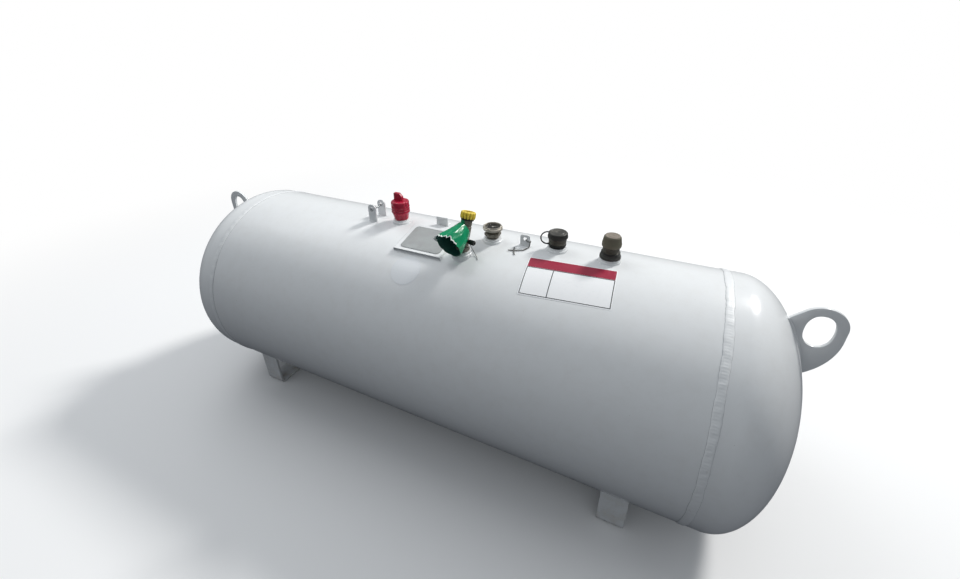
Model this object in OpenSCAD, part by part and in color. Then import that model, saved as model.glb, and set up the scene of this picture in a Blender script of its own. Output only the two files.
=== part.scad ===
// Horizontal pressure tank on two strap legs, with its valves and gauge along the top.
// Millimetres. Origin on the ground below the middle, X along the tank, -Y to the front.

/* [Shell] */
// Outside diameter of the shell
shell_od = 762; // [720:1:820]
// Thickness of the shell and of the heads
wall = 5; // [4:0.5:8]
// Length of the shell between the middles of its two girth welds
shell_length = 1765; // [1700:5:2300]
// Gap between the ground and the bottom of the shell
ground_gap = 46; // [41:1:80]
// Diameter of the opening under each fitting
port_d = 38; // [30:1:42]

/* [Heads] */
// Straight flange of each head
flange = 45; // [25:1:70]
// Depth of a head beyond its flange
head_depth = 190.5; // [170:0.5:220]

/* [Welds] */
// Width of a girth weld's bead
girth_bead_w = 26; // [14:1:32]
// Height of a girth weld's bead above the shell
girth_bead_h = 2.5; // [1.5:0.5:5]
// Width of the long seam's bead
seam_bead_w = 14; // [8:1:20]
// Height of the long seam's bead above the shell
seam_bead_h = 2; // [1:0.5:4]
// Turn of the long seam from the top of the shell towards the back
seam_angle = 104; // [95:1:115]

/* [Lifting lugs] */
// Thickness of a lug's plate
lug_t = 10; // [6:1:16]
// Width of the lug's hole
lug_hole_w = 64; // [50:1:74]
// Height of the lug's hole
lug_hole_h = 94; // [76:1:112]
// Steel left round the hole
lug_rim = 25.5; // [16:0.5:30]
// Drop of the hole's centre below the top of the shell
lug_drop = 83; // [78:1:110]
// Reach of the hole's centre beyond the head at its own height
lug_reach = 60; // [56:1:90]
// Radius of the lug's lower flank
lug_flank_r = 165; // [140:1:220]

/* [Legs] */
// Width of a leg's strap along the tank
leg_w = 86; // [60:1:110]
// Thickness of the strap
leg_t = 9; // [6:0.5:12]
// Outside width of the strap's U across the tank
leg_span = 540; // [460:5:600]
// Outside radius of the strap's two bends
leg_bend_r = 20; // [14:1:32]
// Place of the left leg's middle, to the left of the tank's
leg_left_x = 805; // [700:5:820]
// Place of the right leg's middle, to the right of the tank's
leg_right_x = 707; // [660:1:820]

/* [Hood hinge] */
// Place of the hinge ears, to the left of the tank's middle
ear_x = 297; // [285:1:330]
// Width of an ear
ear_w = 35; // [28:1:44]
// Height of an ear above the top of the shell
ear_h = 64; // [50:1:80]
// Thickness of an ear
ear_t = 5; // [3:0.5:8]
// Distance of the front ear's middle before the top line
ear_front = 37; // [28:1:50]
// Distance of the rear ear's middle behind the top line
ear_rear = 18; // [12:1:30]
// Diameter of the hole in an ear
ear_hole_d = 12; // [9:0.5:14]
// Diameter of the hinge pin
pin_d = 7; // [4:0.5:8]
// Length of the pin's free tail behind the rear ear
pin_tail = 12; // [6:1:30]
// Diameter of the pin's head
pin_head_d = 15; // [14.5:0.5:20]

/* [Hood latch] */
// Place of the latch tab, to the right of the tank's middle
latch_x = 291; // [270:1:310]
// Width of the latch tab
latch_w = 33; // [26:1:44]
// Height of the latch tab
latch_h = 38; // [36:1:56]
// Thickness of the latch tab
latch_t = 5; // [3:0.5:8]
// Diameter of the hole in the latch tab
latch_hole_d = 12; // [8:0.5:16]
// Height of that hole above the top of the shell
latch_hole_z = 24; // [18:1:26]
// Diameter of the wire at the latch tab's foot
cotter_d = 3.2; // [2:0.2:5]

/* [Hood stop] */
// Place of the hood stop, to the left of the tank's middle
stop_x = 38; // [20:1:60]
// Width of the hood stop
stop_w = 46; // [30:1:56]
// Height of the hood stop
stop_h = 31; // [26:1:48]
// Thickness of the hood stop's bent plate
stop_t = 4; // [3:0.5:6]
// Distance of the stop's upright behind the top line
stop_y = 28; // [20:1:40]
// Length of the stop's foot
stop_foot = 26; // [16:1:40]

/* [Nameplate] */
// Middle of the nameplate, to the left of the tank's middle
plate_x = 34; // [28:1:42]
// Turn of the nameplate's middle from the top towards the front
plate_angle = 13.1; // [12:0.1:16]
// Length of the bracket along the tank
bracket_l = 184; // [150:1:190]
// Width of the bracket across the tank
bracket_w = 141; // [110:1:146]
// Thickness of the bracket's sheet
bracket_t = 3; // [2:0.5:5]
// Gap between the bracket's middle and the shell
bracket_rise = 2; // [1:0.5:8]
// Margin of the bracket left round the nameplate
plate_margin = 12; // [6:1:20]
// Thickness of the nameplate
plate_t = 1.5; // [1:0.5:3]
// Radius of the nameplate's corners
plate_corner_r = 14; // [6:1:20]

/* [Couplings] */
// Diameter of a coupling's collar
collar_d = 58; // [54:1:60]
// Height of a coupling's collar above the shell
collar_h = 12; // [9:1:16]
// Width of the weld round a coupling
collar_weld = 5; // [3:0.5:6]
// Gap between a fitting's thread and its coupling
thread_gap = 0.1; // [0.05:0.05:0.3]
// Depth that a fitting's thread reaches below the shell's top
shank_in = 24; // [18:1:40]

/* [Relief valve] */
// Place of the relief valve, to the left of the tank's middle
relief_x = 195; // [186:1:204]
// Diameter of its cap
relief_cap_d = 69; // [62:1:74]
// Diameter of the foot of its cap
relief_foot_d = 53; // [50:1:58]
// Height of the cap without its tab
relief_cap_h = 71; // [60:1:80]
// Wall of the cap
relief_cap_wall = 3; // [2:0.5:5]
// Width of the tab on the cap
relief_tab_w = 36; // [28:1:44]
// Height of the tab on the cap
relief_tab_h = 29; // [24:1:44]
// Thickness of the tab on the cap
relief_tab_t = 13; // [7:1:16]

/* [Service valve] */
// Place of the service valve, to the right of the tank's middle
service_x = 119; // [112:1:126]
// Distance of the service valve before the top line
service_y = 107; // [96:1:116]
// Turn of the valve's outlet from the front towards the left
service_turn = 12; // [0:1:20]
// Lean of the valve's body to the side away from its outlet
service_lean = 18; // [12:1:22]
// Diameter of the valve's body
service_body_d = 35; // [30:1:38]
// Length of the valve's body above its coupling
service_body_h = 100; // [95:1:110]
// Width across the flats of the valve's hexagons
service_hex = 44; // [40:1:48]
// Diameter of the handwheel
wheel_d = 51; // [42:1:58]
// Height of the handwheel
wheel_h = 27; // [22:1:38]
// Place of the outlet along the valve's body
outlet_h = 80; // [76:1:83]
// Length of the outlet from the valve's axis
outlet_l = 44; // [42:1:56]
// Diameter of the outlet
outlet_d = 26; // [22:1:30]
// Diameter of the sleeve's mouth
sleeve_mouth_d = 98; // [84:1:104]
// Diameter of the sleeve's narrow end
sleeve_neck_d = 46; // [44:1:54]
// Length of the sleeve
sleeve_l = 83; // [70:1:90]
// Distance of the sleeve's narrow end from the valve's middle
sleeve_start = 14; // [10:1:16]
// Slope of the sleeve below the level
sleeve_droop = 15; // [10:1:20]
// Thickness of the sleeve
sleeve_t = 2; // [1.5:0.25:3]
// Diameter of the bleeder stub
stub_d = 16; // [12:1:18]
// Length of the bleeder stub from the valve's side
stub_l = 27; // [14:1:32]
// Place of the bleeder stub along the valve's body
stub_h = 33; // [28:1:36]

/* [Gauge] */
// Place of the gauge, to the right of the tank's middle
gauge_x = 181; // [180:1:200]
// Distance of the gauge before the top line
gauge_y = 8; // [0:1:12]
// Width across the flats of the gauge's hexagon
gauge_hex = 50; // [44:1:54]
// Height of the gauge's hexagon
gauge_hex_h = 26; // [18:1:32]
// Diameter of the gauge's ring
gauge_ring_d = 68; // [62:1:76]
// Height of the gauge's ring
gauge_ring_h = 14; // [10:1:20]
// Diameter of the gauge's dial
gauge_dial_d = 52; // [44:1:56]
// Depth of the dial below the ring's rim
gauge_recess = 4; // [2:0.5:6]

/* [Filler valve] */
// Place of the filler valve, to the right of the tank's middle
filler_x = 394; // [370:1:420]
// Distance of the filler valve behind the top line
filler_y = 14; // [0:1:24]
// Diameter of the filler's cap
filler_cap_d = 64.5; // [60:0.5:72]
// Height of the filler's cap
filler_cap_h = 18; // [14:1:28]
// Height of the filler valve between its coupling and its cap
filler_body_h = 32; // [24:1:40]

/* [Vapour valve] */
// Place of the vapour valve, to the right of the tank's middle
vapour_x = 565; // [540:1:600]
// Distance of the vapour valve behind the top line
vapour_y = 8; // [0:1:24]
// Diameter of the foot of the vapour valve's cap
vapour_cap_d = 65; // [60:1:72]
// Diameter of the top of the vapour valve's cap
vapour_top_d = 52; // [46:1:58]
// Height of the vapour valve's cap
vapour_cap_h = 34; // [30:1:46]
// Height of the vapour valve between its coupling and its cap
vapour_body_h = 39; // [32:1:46]
// Diameter of the vapour valve's neck
vapour_neck_d = 55; // [52:1:58]
// Diameter of the flange at the vapour valve's foot
vapour_flange_d = 68; // [60:1:74]
// Height of that flange
vapour_flange_h = 15; // [10:1:18]

/* [Cap straps] */
// Diameter of a strap's cord
strap_d = 4.4; // [3:0.2:6]
// Gap between a strap's band and the neck that it goes round
strap_gap = 0.15; // [0.1:0.05:0.3]
// Turn of the filler's strap from the tank's right end
filler_strap_turn = 200; // [180:1:230]
// Turn of the vapour valve's strap from the tank's right end
vapour_strap_turn = 72; // [40:1:90]

/* [Hidden] */
$fn = 96;

// Radius of the shell, heights of its axis and top line, end of its straight part
shell_r = shell_od / 2;
axis_height = ground_gap + shell_r;
top_z = axis_height + shell_r;
half_l = shell_length / 2;
// Steps of a head's quarter ellipse
head_steps = 36;
// Steps of half a bead's arc
bead_steps = 5;
// Ports: place along the tank and across it
relief_at = [-relief_x, 0];
service_at = [service_x, -service_y];
gauge_at = [gauge_x, -gauge_y];
filler_at = [filler_x, filler_y];
vapour_at = [vapour_x, vapour_y];
PORTS = [relief_at, service_at, gauge_at, filler_at, vapour_at];
// Eye of a lug: half height of the straight part of its hole, and its centre
lug_straight = (lug_hole_h - lug_hole_w) / 2;
lug_z = shell_r - lug_drop;
lug_x = half_l + flange + head_depth * sqrt(1 - pow(lug_z / shell_r, 2)) + lug_reach;
lug_eye_r = lug_hole_w / 2 + lug_rim;
// Height of the ear's hole above the top line
ear_hole_z = top_z + ear_h - ear_w / 2;
pin_z = ear_hole_z - (ear_hole_d - pin_d) / 2 + 0.1;
pin_head_t = 3;
// Height of the latch wire's middle above the shell, and its gap beside the tab
wire_lift = cotter_d / 2 + 0.5;
wire_gap = 0.2;
// Bracket: radius of its underside from the tank's axis
bracket_r = shell_r + bracket_rise;
// Service valve: bonnet below the handwheel, hexagon on the coupling, start of the body
bonnet_h = 9;
service_hex_h = 15;
service_low = 8;
sleeve_grip_t = 2.2;
sleeve_grip_gap = 0.2;
// Neck inside a cap and the gap round it
cap_neck_d = 42;
cap_gap = 0.2;
cap_wall = 4;
cap_edge = 3;
cap_rim = 10;
strap_band_h = 5;
strap_band_t = 3;
relief_neck_d = 40;
hex_share = 2 / sqrt(3);

// Height of the shell's surface at a distance across the tank
function surface_z(y) = axis_height + sqrt(shell_r * shell_r - y * y);
// Top face of the coupling at a port
function collar_z(at) = surface_z(at[1]) + collar_h;

// Turn a child's Z axis along the tank's axis
module along_tank() {
    translate([0, 0, axis_height]) rotate([0, 90, 0]) children();
}

// The shell's outer form, filled, a little longer than needed
module shell_solid() {
    along_tank() cylinder(r = shell_r, h = shell_length, center = true,
        $fn = max($fn, 180));
}

// Half outline of a head, its wall s taken off: straight flange, then a quarter ellipse.
// Each point is its distance from the axis and its height above the flange's edge
function head_points(s) = [[0, -s], [shell_r - s, -s],
    for (i = [0 : head_steps])
        [(shell_r - s) * cos(i * 90 / head_steps),
            flange + (head_depth - s) * sin(i * 90 / head_steps)]];

// A head standing on its flange's edge, filled, its wall s taken off
module head_form(s) {
    rotate_extrude($fn = 180) polygon(head_points(s));
}

// The right head's place; the left one is its mirror image
module at_right_head() {
    translate([half_l, 0, axis_height]) rotate([0, 90, 0]) children();
}

module head() {
    at_right_head() difference() {
        head_form(0);
        head_form(wall);
    }
}

// Low round bead that stands h above a flat: an arc on its chord of width w
module bead_section(w, h) {
    r = (w * w / 4 + h * h) / (2 * h);
    half_a = asin(w / (2 * r));
    polygon([for (i = [-bead_steps : bead_steps])
        [h - r + r * cos(half_a * i / bead_steps), r * sin(half_a * i / bead_steps)]]);
}

module girth_weld() {
    at_right_head() rotate_extrude($fn = 180)
        translate([shell_r, 0]) bead_section(girth_bead_w, girth_bead_h);
}

module mirrored() {
    mirror([1, 0, 0]) children();
}

module shell() {
    color("white") difference() {
        shell_solid();
        along_tank() cylinder(r = shell_r - wall, h = shell_length + 2, center = true,
            $fn = 180);
        for (at = PORTS)
            translate([at[0], at[1], axis_height]) cylinder(d = port_d, h = shell_r + 10);
    }
}

module right_head() {
    color("white") head();
}

module left_head() {
    color("white") mirrored() head();
}

module right_girth_weld() {
    color("gainsboro") girth_weld();
}

module left_girth_weld() {
    color("gainsboro") mirrored() girth_weld();
}

module long_seam() {
    l = shell_length - girth_bead_w;
    color("gainsboro") translate([0, 0, axis_height]) rotate([90 - seam_angle, 0, 0])
        rotate([90, 0, 90]) linear_extrude(l, center = true) difference() {
            translate([shell_r, 0]) bead_section(seam_bead_w, seam_bead_h);
            circle(r = shell_r, $fn = 1440);
        }
}

// Outline of the lug in the plane of its plate, seen from the front
module lug_outline() {
    side_x = lug_x + lug_eye_r;
    eye_z = lug_z + lug_straight;
    flank_z = lug_z - lug_straight;
    root_x = side_x - lug_flank_r;
    translate([lug_x, eye_z]) circle(r = lug_eye_r);
    translate([root_x, flank_z]) square([lug_flank_r, eye_z - flank_z]);
    intersection() {
        translate([root_x, flank_z]) circle(r = lug_flank_r, $fn = 180);
        translate([root_x, flank_z - lug_flank_r]) square(lug_flank_r);
    }
    polygon([[lug_x, eye_z],
        [lug_x - lug_eye_r * sin(45), eye_z + lug_eye_r * sin(45)],
        [root_x, eye_z + lug_eye_r * sin(45) - (lug_x - lug_eye_r * sin(45) - root_x)],
        [root_x, eye_z]]);
}

module lug_hole() {
    for (s = [-1, 1])
        translate([lug_x, lug_z + s * lug_straight]) circle(d = lug_hole_w);
    translate([lug_x - lug_hole_w / 2, lug_z - lug_straight])
        square([lug_hole_w, 2 * lug_straight]);
}

// Plate with one edge cut to the head's curve
module lifting_lug() {
    translate([0, lug_t / 2, axis_height]) rotate([90, 0, 0])
        linear_extrude(lug_t) difference() {
            lug_outline();
            lug_hole();
            polygon([for (p = head_points(0)) [half_l + p[1], p[0]]]);
        }
}

module right_lifting_lug() {
    color("whitesmoke") lifting_lug();
}

module left_lifting_lug() {
    color("whitesmoke") mirrored() lifting_lug();
}

// Outline of a U with round bends, open at the top, its outside s inside the strap's
module leg_form(s) {
    r = leg_bend_r - s;
    half = leg_span / 2 - s;
    for (side = [-1, 1])
        translate([side * (half - r), s + r]) circle(r = r);
    translate([-half, s + r]) square([2 * half, axis_height - s - r]);
    translate([r - half, s]) square([2 * (half - r), 2 * r]);
}

module leg(x) {
    difference() {
        translate([x - leg_w / 2, 0, 0]) rotate([90, 0, 90])
            linear_extrude(leg_w) difference() {
                leg_form(0);
                leg_form(leg_t);
            }
        shell_solid();
    }
}

module right_leg() {
    color("whitesmoke") leg(leg_right_x);
}

module left_leg() {
    color("whitesmoke") leg(-leg_left_x);
}

// Upright plate with a round top and one hole, its middle plane at y
module ear(y) {
    difference() {
        translate([-ear_x, y + ear_t / 2, 0]) rotate([90, 0, 0])
            linear_extrude(ear_t) difference() {
                union() {
                    translate([0, ear_hole_z]) circle(d = ear_w);
                    translate([-ear_w / 2, top_z - 30])
                        square([ear_w, ear_hole_z - top_z + 30]);
                }
                translate([0, ear_hole_z]) circle(d = ear_hole_d);
            }
        shell_solid();
    }
}

module front_hinge_ear() {
    color("lightgray") ear(-ear_front);
}

module rear_hinge_ear() {
    color("lightgray") ear(ear_rear);
}

// Pin lying on the bottom of both holes, its head against the front ear
module hinge_pin() {
    front = -ear_front - ear_t / 2;
    tail = ear_rear + ear_t / 2 + pin_tail;
    color("silver") translate([-ear_x, front, pin_z]) rotate([-90, 0, 0]) {
        cylinder(d = pin_d, h = tail - front);
        translate([0, 0, -pin_head_t]) cylinder(d = pin_head_d, h = pin_head_t);
    }
}

module latch_tab() {
    corner = latch_w / 4;
    color("lightgray") difference() {
        translate([latch_x, latch_t / 2, top_z]) rotate([90, 0, 0])
            linear_extrude(latch_t) difference() {
                union() {
                    for (s = [-1, 1])
                        translate([s * (latch_w / 2 - corner), latch_h - corner])
                            circle(r = corner);
                    translate([corner - latch_w / 2, 0])
                        square([latch_w - 2 * corner, latch_h]);
                    translate([-latch_w / 2, -10]) square([latch_w, latch_h + 10 - corner]);
                }
                translate([0, latch_hole_z]) circle(d = latch_hole_d);
            }
        shell_solid();
    }
}

// Round wire from point to point with round joints
module wire(points, d) {
    for (i = [0 : len(points) - 2]) {
        run = points[i + 1] - points[i];
        translate(points[i]) rotate([0, acos(run[2] / norm(run)), atan2(run[1], run[0])])
            cylinder(d = d, h = norm(run), $fn = 24);
    }
    for (p = points)
        translate(p) sphere(d = d * 1.06, $fn = 24);
}

// Place just above the shell's surface for a wire's middle
function on_shell(x, y) = [x, y * (shell_r + wire_lift) / shell_r,
    axis_height + (shell_r + wire_lift) / shell_r * sqrt(shell_r * shell_r - y * y)];

module latch_wire() {
    edge = latch_x + latch_w / 2 + cotter_d / 2 + wire_gap;
    color("silver") {
        wire([on_shell(edge - 58, -51), on_shell(edge - 12, -36), on_shell(edge, -12),
            [edge, 0, top_z + latch_hole_z * 0.7]], cotter_d);
        wire([on_shell(edge - 44, -30), on_shell(edge - 30, -67)], cotter_d);
    }
}

// Bent plate: an upright and a foot that runs to the back
module hood_stop() {
    color("whitesmoke") difference() {
        union() {
            translate([-stop_x - stop_w / 2, stop_y, top_z - 20])
                cube([stop_w, stop_t, stop_h + 20]);
            translate([-stop_x - stop_w / 2, stop_y, top_z - 20])
                cube([stop_w, stop_foot, 20 + stop_t]);
        }
        shell_solid();
    }
}

// The nameplate's own frame: Z away from the tank's axis, Y round the shell
module at_plate() {
    translate([-plate_x, 0, axis_height]) rotate([plate_angle, 0, 0]) children();
}

module nameplate_bracket() {
    color("white") difference() {
        at_plate() {
            translate([-bracket_l / 2, -bracket_w / 2, bracket_r])
                cube([bracket_l, bracket_w, bracket_t]);
            for (x = [-bracket_l / 2, bracket_l / 2 - bracket_t])
                translate([x, -bracket_w / 2, bracket_r - 30])
                    cube([bracket_t, bracket_w, 30 + bracket_t]);
        }
        shell_solid();
    }
}

module nameplate() {
    l = bracket_l - 2 * plate_margin;
    w = bracket_w - 2 * plate_margin;
    color("darkgray") at_plate() translate([0, 0, bracket_r + bracket_t])
        linear_extrude(plate_t) {
            square([l - 2 * plate_corner_r, w], center = true);
            square([l, w - 2 * plate_corner_r], center = true);
            for (sx = [-1, 1], sy = [-1, 1])
                translate([sx * (l / 2 - plate_corner_r), sy * (w / 2 - plate_corner_r)])
                    circle(r = plate_corner_r);
        }
}

// Round collar welded to the shell: a straight ring with a sloping weld at its foot
module coupling(at) {
    top = collar_z(at);
    weld_h = collar_h * 0.6;
    weld_top = surface_z(at[1]) + weld_h;
    low = surface_z(abs(at[1]) + collar_d / 2 + 3 * collar_weld) - 2;
    slope = collar_weld / weld_h;
    difference() {
        translate([at[0], at[1], 0]) {
            translate([0, 0, low]) cylinder(d = collar_d, h = top - low);
            translate([0, 0, low])
                cylinder(r1 = collar_d / 2 + (weld_top - low) * slope, r2 = collar_d / 2,
                    h = weld_top - low);
        }
        shell_solid();
        translate([at[0], at[1], axis_height]) cylinder(d = port_d, h = top - axis_height + 5);
    }
}

// Threaded end that fills a port, from below the shell up to the collar's top
module shank(at) {
    translate([at[0], at[1], surface_z(at[1]) - shank_in])
        cylinder(d = port_d - 2 * thread_gap, h = shank_in + collar_h);
}

// Child standing on top of the coupling at a port
module on_collar(at) {
    translate([at[0], at[1], collar_z(at)]) children();
}

// Hexagon by its width across the flats
module hexagon(flats, h) {
    cylinder(d = flats * hex_share, h = h, $fn = 6);
}

module relief_coupling() {
    color("white") coupling(relief_at);
}

module relief_valve() {
    color("peru") {
        shank(relief_at);
        on_collar(relief_at) cylinder(d = relief_neck_d, h = relief_cap_h * 0.7);
    }
}

// Soft cap: tapered skirt, drum with a round shoulder, flat tab on top
module relief_cap() {
    skirt_h = relief_cap_h * 0.36;
    shoulder = 7;
    r = relief_cap_d / 2;
    color("crimson") on_collar(relief_at) difference() {
        union() {
            rotate_extrude() {
                polygon([[0, 0], [relief_foot_d / 2, 0], [r - relief_cap_wall, skirt_h],
                    [r, skirt_h + relief_cap_wall], [r, relief_cap_h - shoulder],
                    [0, relief_cap_h - shoulder]]);
                square([r - shoulder, relief_cap_h]);
                translate([r - shoulder, relief_cap_h - shoulder]) circle(r = shoulder);
            }
            translate([-relief_tab_w * 0.62, -relief_tab_t / 2, relief_cap_h - shoulder])
                cube([relief_tab_w, relief_tab_t, relief_tab_h + shoulder]);
        }
        translate([0, 0, -1])
            cylinder(d = relief_neck_d + 2 * cap_gap, h = relief_cap_h * 0.7 + 1);
    }
}

module service_coupling() {
    color("white") coupling(service_at);
}

// Frame of the service valve's leaning body: Z along the body, -Y to its outlet's side
module at_body() {
    on_collar(service_at) rotate([0, 0, -service_turn]) rotate([-service_lean, 0, 0])
        children();
}

// Outlet's frame: Z out of the valve to the front, below the level by its droop
module at_outlet(droop) {
    at_body() translate([0, 0, outlet_h]) rotate([90 + service_lean + droop, 0, 0])
        children();
}

module service_valve() {
    color("darkgray") difference() {
        union() {
            shank(service_at);
            on_collar(service_at) rotate([0, 0, -service_turn])
                hexagon(service_hex, service_hex_h);
            at_body() translate([0, 0, service_low]) {
                cylinder(d = service_body_d, h = service_body_h - bonnet_h - service_low);
                hexagon(service_body_d * 0.86, service_body_h - service_low);
            }
            at_outlet(0) cylinder(d = outlet_d, h = outlet_l);
        }
        at_outlet(0) translate([0, 0, outlet_l - 22]) cylinder(d = outlet_d * 0.6, h = 23);
    }
}

// Ribbed round handwheel
module service_handwheel() {
    ribs = 12;
    rib_r = 3.4;
    r = wheel_d / 2 - rib_r;
    color("gold") at_body() translate([0, 0, service_body_h]) {
        linear_extrude(wheel_h - 4) {
            circle(r = r);
            for (i = [0 : ribs - 1])
                rotate(i * 360 / ribs) translate([r, 0]) circle(r = rib_r, $fn = 24);
        }
        cylinder(r = r, h = wheel_h);
    }
}

// Loose sleeve over the outlet: a grip round the valve's body and a wide open cone
module service_sleeve() {
    grip_r = service_body_d / 2 + sleeve_grip_gap;
    grip_low = stub_h + stub_d / 2 + 1;
    grip_h = service_body_h - bonnet_h - grip_low;
    color("seagreen") difference() {
        union() {
            at_body() translate([0, 0, grip_low])
                cylinder(r = grip_r + sleeve_grip_t, h = grip_h);
            at_outlet(sleeve_droop) translate([0, 0, sleeve_start])
                cylinder(d1 = sleeve_neck_d, d2 = sleeve_mouth_d, h = sleeve_l);
        }
        at_body() cylinder(r = grip_r, h = service_body_h + wheel_h);
        at_outlet(0) cylinder(d = outlet_d + 2 * sleeve_grip_gap, h = outlet_l);
        at_outlet(sleeve_droop) translate([0, 0, sleeve_start + sleeve_t])
            cylinder(d1 = sleeve_neck_d - 2 * sleeve_t, d2 = sleeve_mouth_d - 2 * sleeve_t,
                h = sleeve_l);
    }
}

module bleeder_stub() {
    color("dimgray") at_body() difference() {
        translate([0, 0, stub_h]) rotate([0, 90, 0])
            cylinder(d = stub_d, h = service_body_d / 2 + stub_l);
        cylinder(d = service_body_d, h = service_body_h);
    }
}

module gauge_coupling() {
    color("white") coupling(gauge_at);
}

module gauge_body() {
    color("gray") {
        shank(gauge_at);
        on_collar(gauge_at) hexagon(gauge_hex, gauge_hex_h);
    }
}

module gauge_ring() {
    color("darkgray") on_collar(gauge_at) translate([0, 0, gauge_hex_h]) difference() {
        rotate_extrude() polygon([[0, 0], [gauge_hex / 2 - 2, 0], [gauge_hex / 2 - 2, 4],
            [gauge_ring_d / 2, 6], [gauge_ring_d / 2, gauge_ring_h - 1.5],
            [gauge_ring_d / 2 - 1.5, gauge_ring_h], [0, gauge_ring_h]]);
        translate([0, 0, gauge_ring_h - gauge_recess - 2]) cylinder(d = gauge_dial_d, h = 20);
    }
}

module gauge_dial() {
    color("dimgray") on_collar(gauge_at)
        translate([0, 0, gauge_hex_h + gauge_ring_h - gauge_recess - 2])
            cylinder(d = gauge_dial_d - 2 * cap_gap, h = 2);
}

module filler_coupling() {
    color("white") coupling(filler_at);
}

// Valve under a screw cap: groove for the strap above its foot, body, neck in the cap
module capped_valve(at, foot_h, body_d, body_h, cap_h) {
    groove_top = foot_h + strap_band_h + 1;
    shank(at);
    on_collar(at) {
        cylinder(d = cap_neck_d + 8, h = groove_top);
        translate([0, 0, groove_top]) cylinder(d1 = body_d - 4, d2 = body_d,
            h = body_h - groove_top);
        cylinder(d = cap_neck_d, h = body_h + cap_h - cap_wall);
    }
}

// Space inside a cap for the valve's neck
module cap_bore(cap_h) {
    translate([0, 0, -1])
        cylinder(d = cap_neck_d + 2 * cap_gap, h = cap_h - cap_wall + 1);
}

// Cord from a band above the valve's foot out and up to the cap, which is the child
module cap_strap(at, turn, foot_h, cap_r, reach_z) {
    band_r = cap_neck_d / 2 + 4 + strap_gap;
    mid = foot_h + strap_band_h / 2;
    loop_r = (reach_z - mid) / 2;
    on_collar(at) difference() {
        rotate([0, 0, turn]) {
            translate([0, 0, foot_h]) difference() {
                cylinder(r = band_r + strap_band_t, h = strap_band_h);
                translate([0, 0, -1]) cylinder(r = band_r, h = strap_band_h + 2);
            }
            translate([cap_r, 0, mid + loop_r]) rotate([90, 0, 0]) rotate([0, 0, -90])
                rotate_extrude(angle = 180, $fn = 72)
                    translate([loop_r, 0]) circle(d = strap_d, $fn = 24);
            translate([band_r + 1, 0, mid]) rotate([0, 90, 0])
                cylinder(d = strap_d, h = cap_r - band_r - 1, $fn = 24);
            translate([cap_r * 0.8, 0, reach_z]) rotate([0, 90, 0])
                cylinder(d = strap_d, h = cap_r * 0.2, $fn = 24);
        }
        children();
    }
}

module filler_valve() {
    color("saddlebrown") capped_valve(filler_at, 0, filler_cap_d - 6, filler_body_h,
        filler_cap_h);
}

// The filler's cap, filled: a drum with its top edge taken off
module filler_cap_form() {
    r = filler_cap_d / 2;
    translate([0, 0, filler_body_h]) {
        cylinder(r = r, h = filler_cap_h - cap_edge);
        translate([0, 0, filler_cap_h - cap_edge])
            cylinder(r1 = r, r2 = r - cap_edge, h = cap_edge);
    }
}

module filler_cap() {
    color("black") on_collar(filler_at) difference() {
        filler_cap_form();
        translate([0, 0, filler_body_h]) cap_bore(filler_cap_h);
    }
}

module filler_strap() {
    color("black") cap_strap(filler_at, filler_strap_turn, 0, filler_cap_d / 2,
        filler_body_h + filler_cap_h - cap_edge) filler_cap_form();
}

module vapour_coupling() {
    color("white") coupling(vapour_at);
}

module vapour_valve() {
    color("gray") {
        capped_valve(vapour_at, vapour_flange_h, vapour_neck_d, vapour_body_h,
            vapour_cap_h);
        on_collar(vapour_at) cylinder(d = vapour_flange_d, h = vapour_flange_h);
    }
}

// The vapour valve's cap, filled: a rim and a taper above it
module vapour_cap_form() {
    r = vapour_cap_d / 2;
    translate([0, 0, vapour_body_h]) {
        cylinder(r = r, h = cap_rim);
        translate([0, 0, cap_rim])
            cylinder(r1 = r, r2 = vapour_top_d / 2, h = vapour_cap_h - cap_rim);
    }
}

module vapour_cap() {
    color("dimgray") on_collar(vapour_at) difference() {
        vapour_cap_form();
        translate([0, 0, vapour_body_h]) cap_bore(vapour_cap_h);
    }
}

module vapour_strap() {
    color("black") cap_strap(vapour_at, vapour_strap_turn, vapour_flange_h,
        vapour_cap_d / 2, vapour_body_h + vapour_cap_h / 2) vapour_cap_form();
}

shell();
left_head();
right_head();
left_girth_weld();
right_girth_weld();
long_seam();
left_lifting_lug();
right_lifting_lug();
left_leg();
right_leg();
front_hinge_ear();
rear_hinge_ear();
hinge_pin();
latch_tab();
latch_wire();
hood_stop();
nameplate_bracket();
nameplate();
relief_coupling();
relief_valve();
relief_cap();
service_coupling();
service_valve();
service_handwheel();
service_sleeve();
bleeder_stub();
gauge_coupling();
gauge_body();
gauge_ring();
gauge_dial();
filler_coupling();
filler_valve();
filler_cap();
filler_strap();
vapour_coupling();
vapour_valve();
vapour_cap();
vapour_strap();
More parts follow.
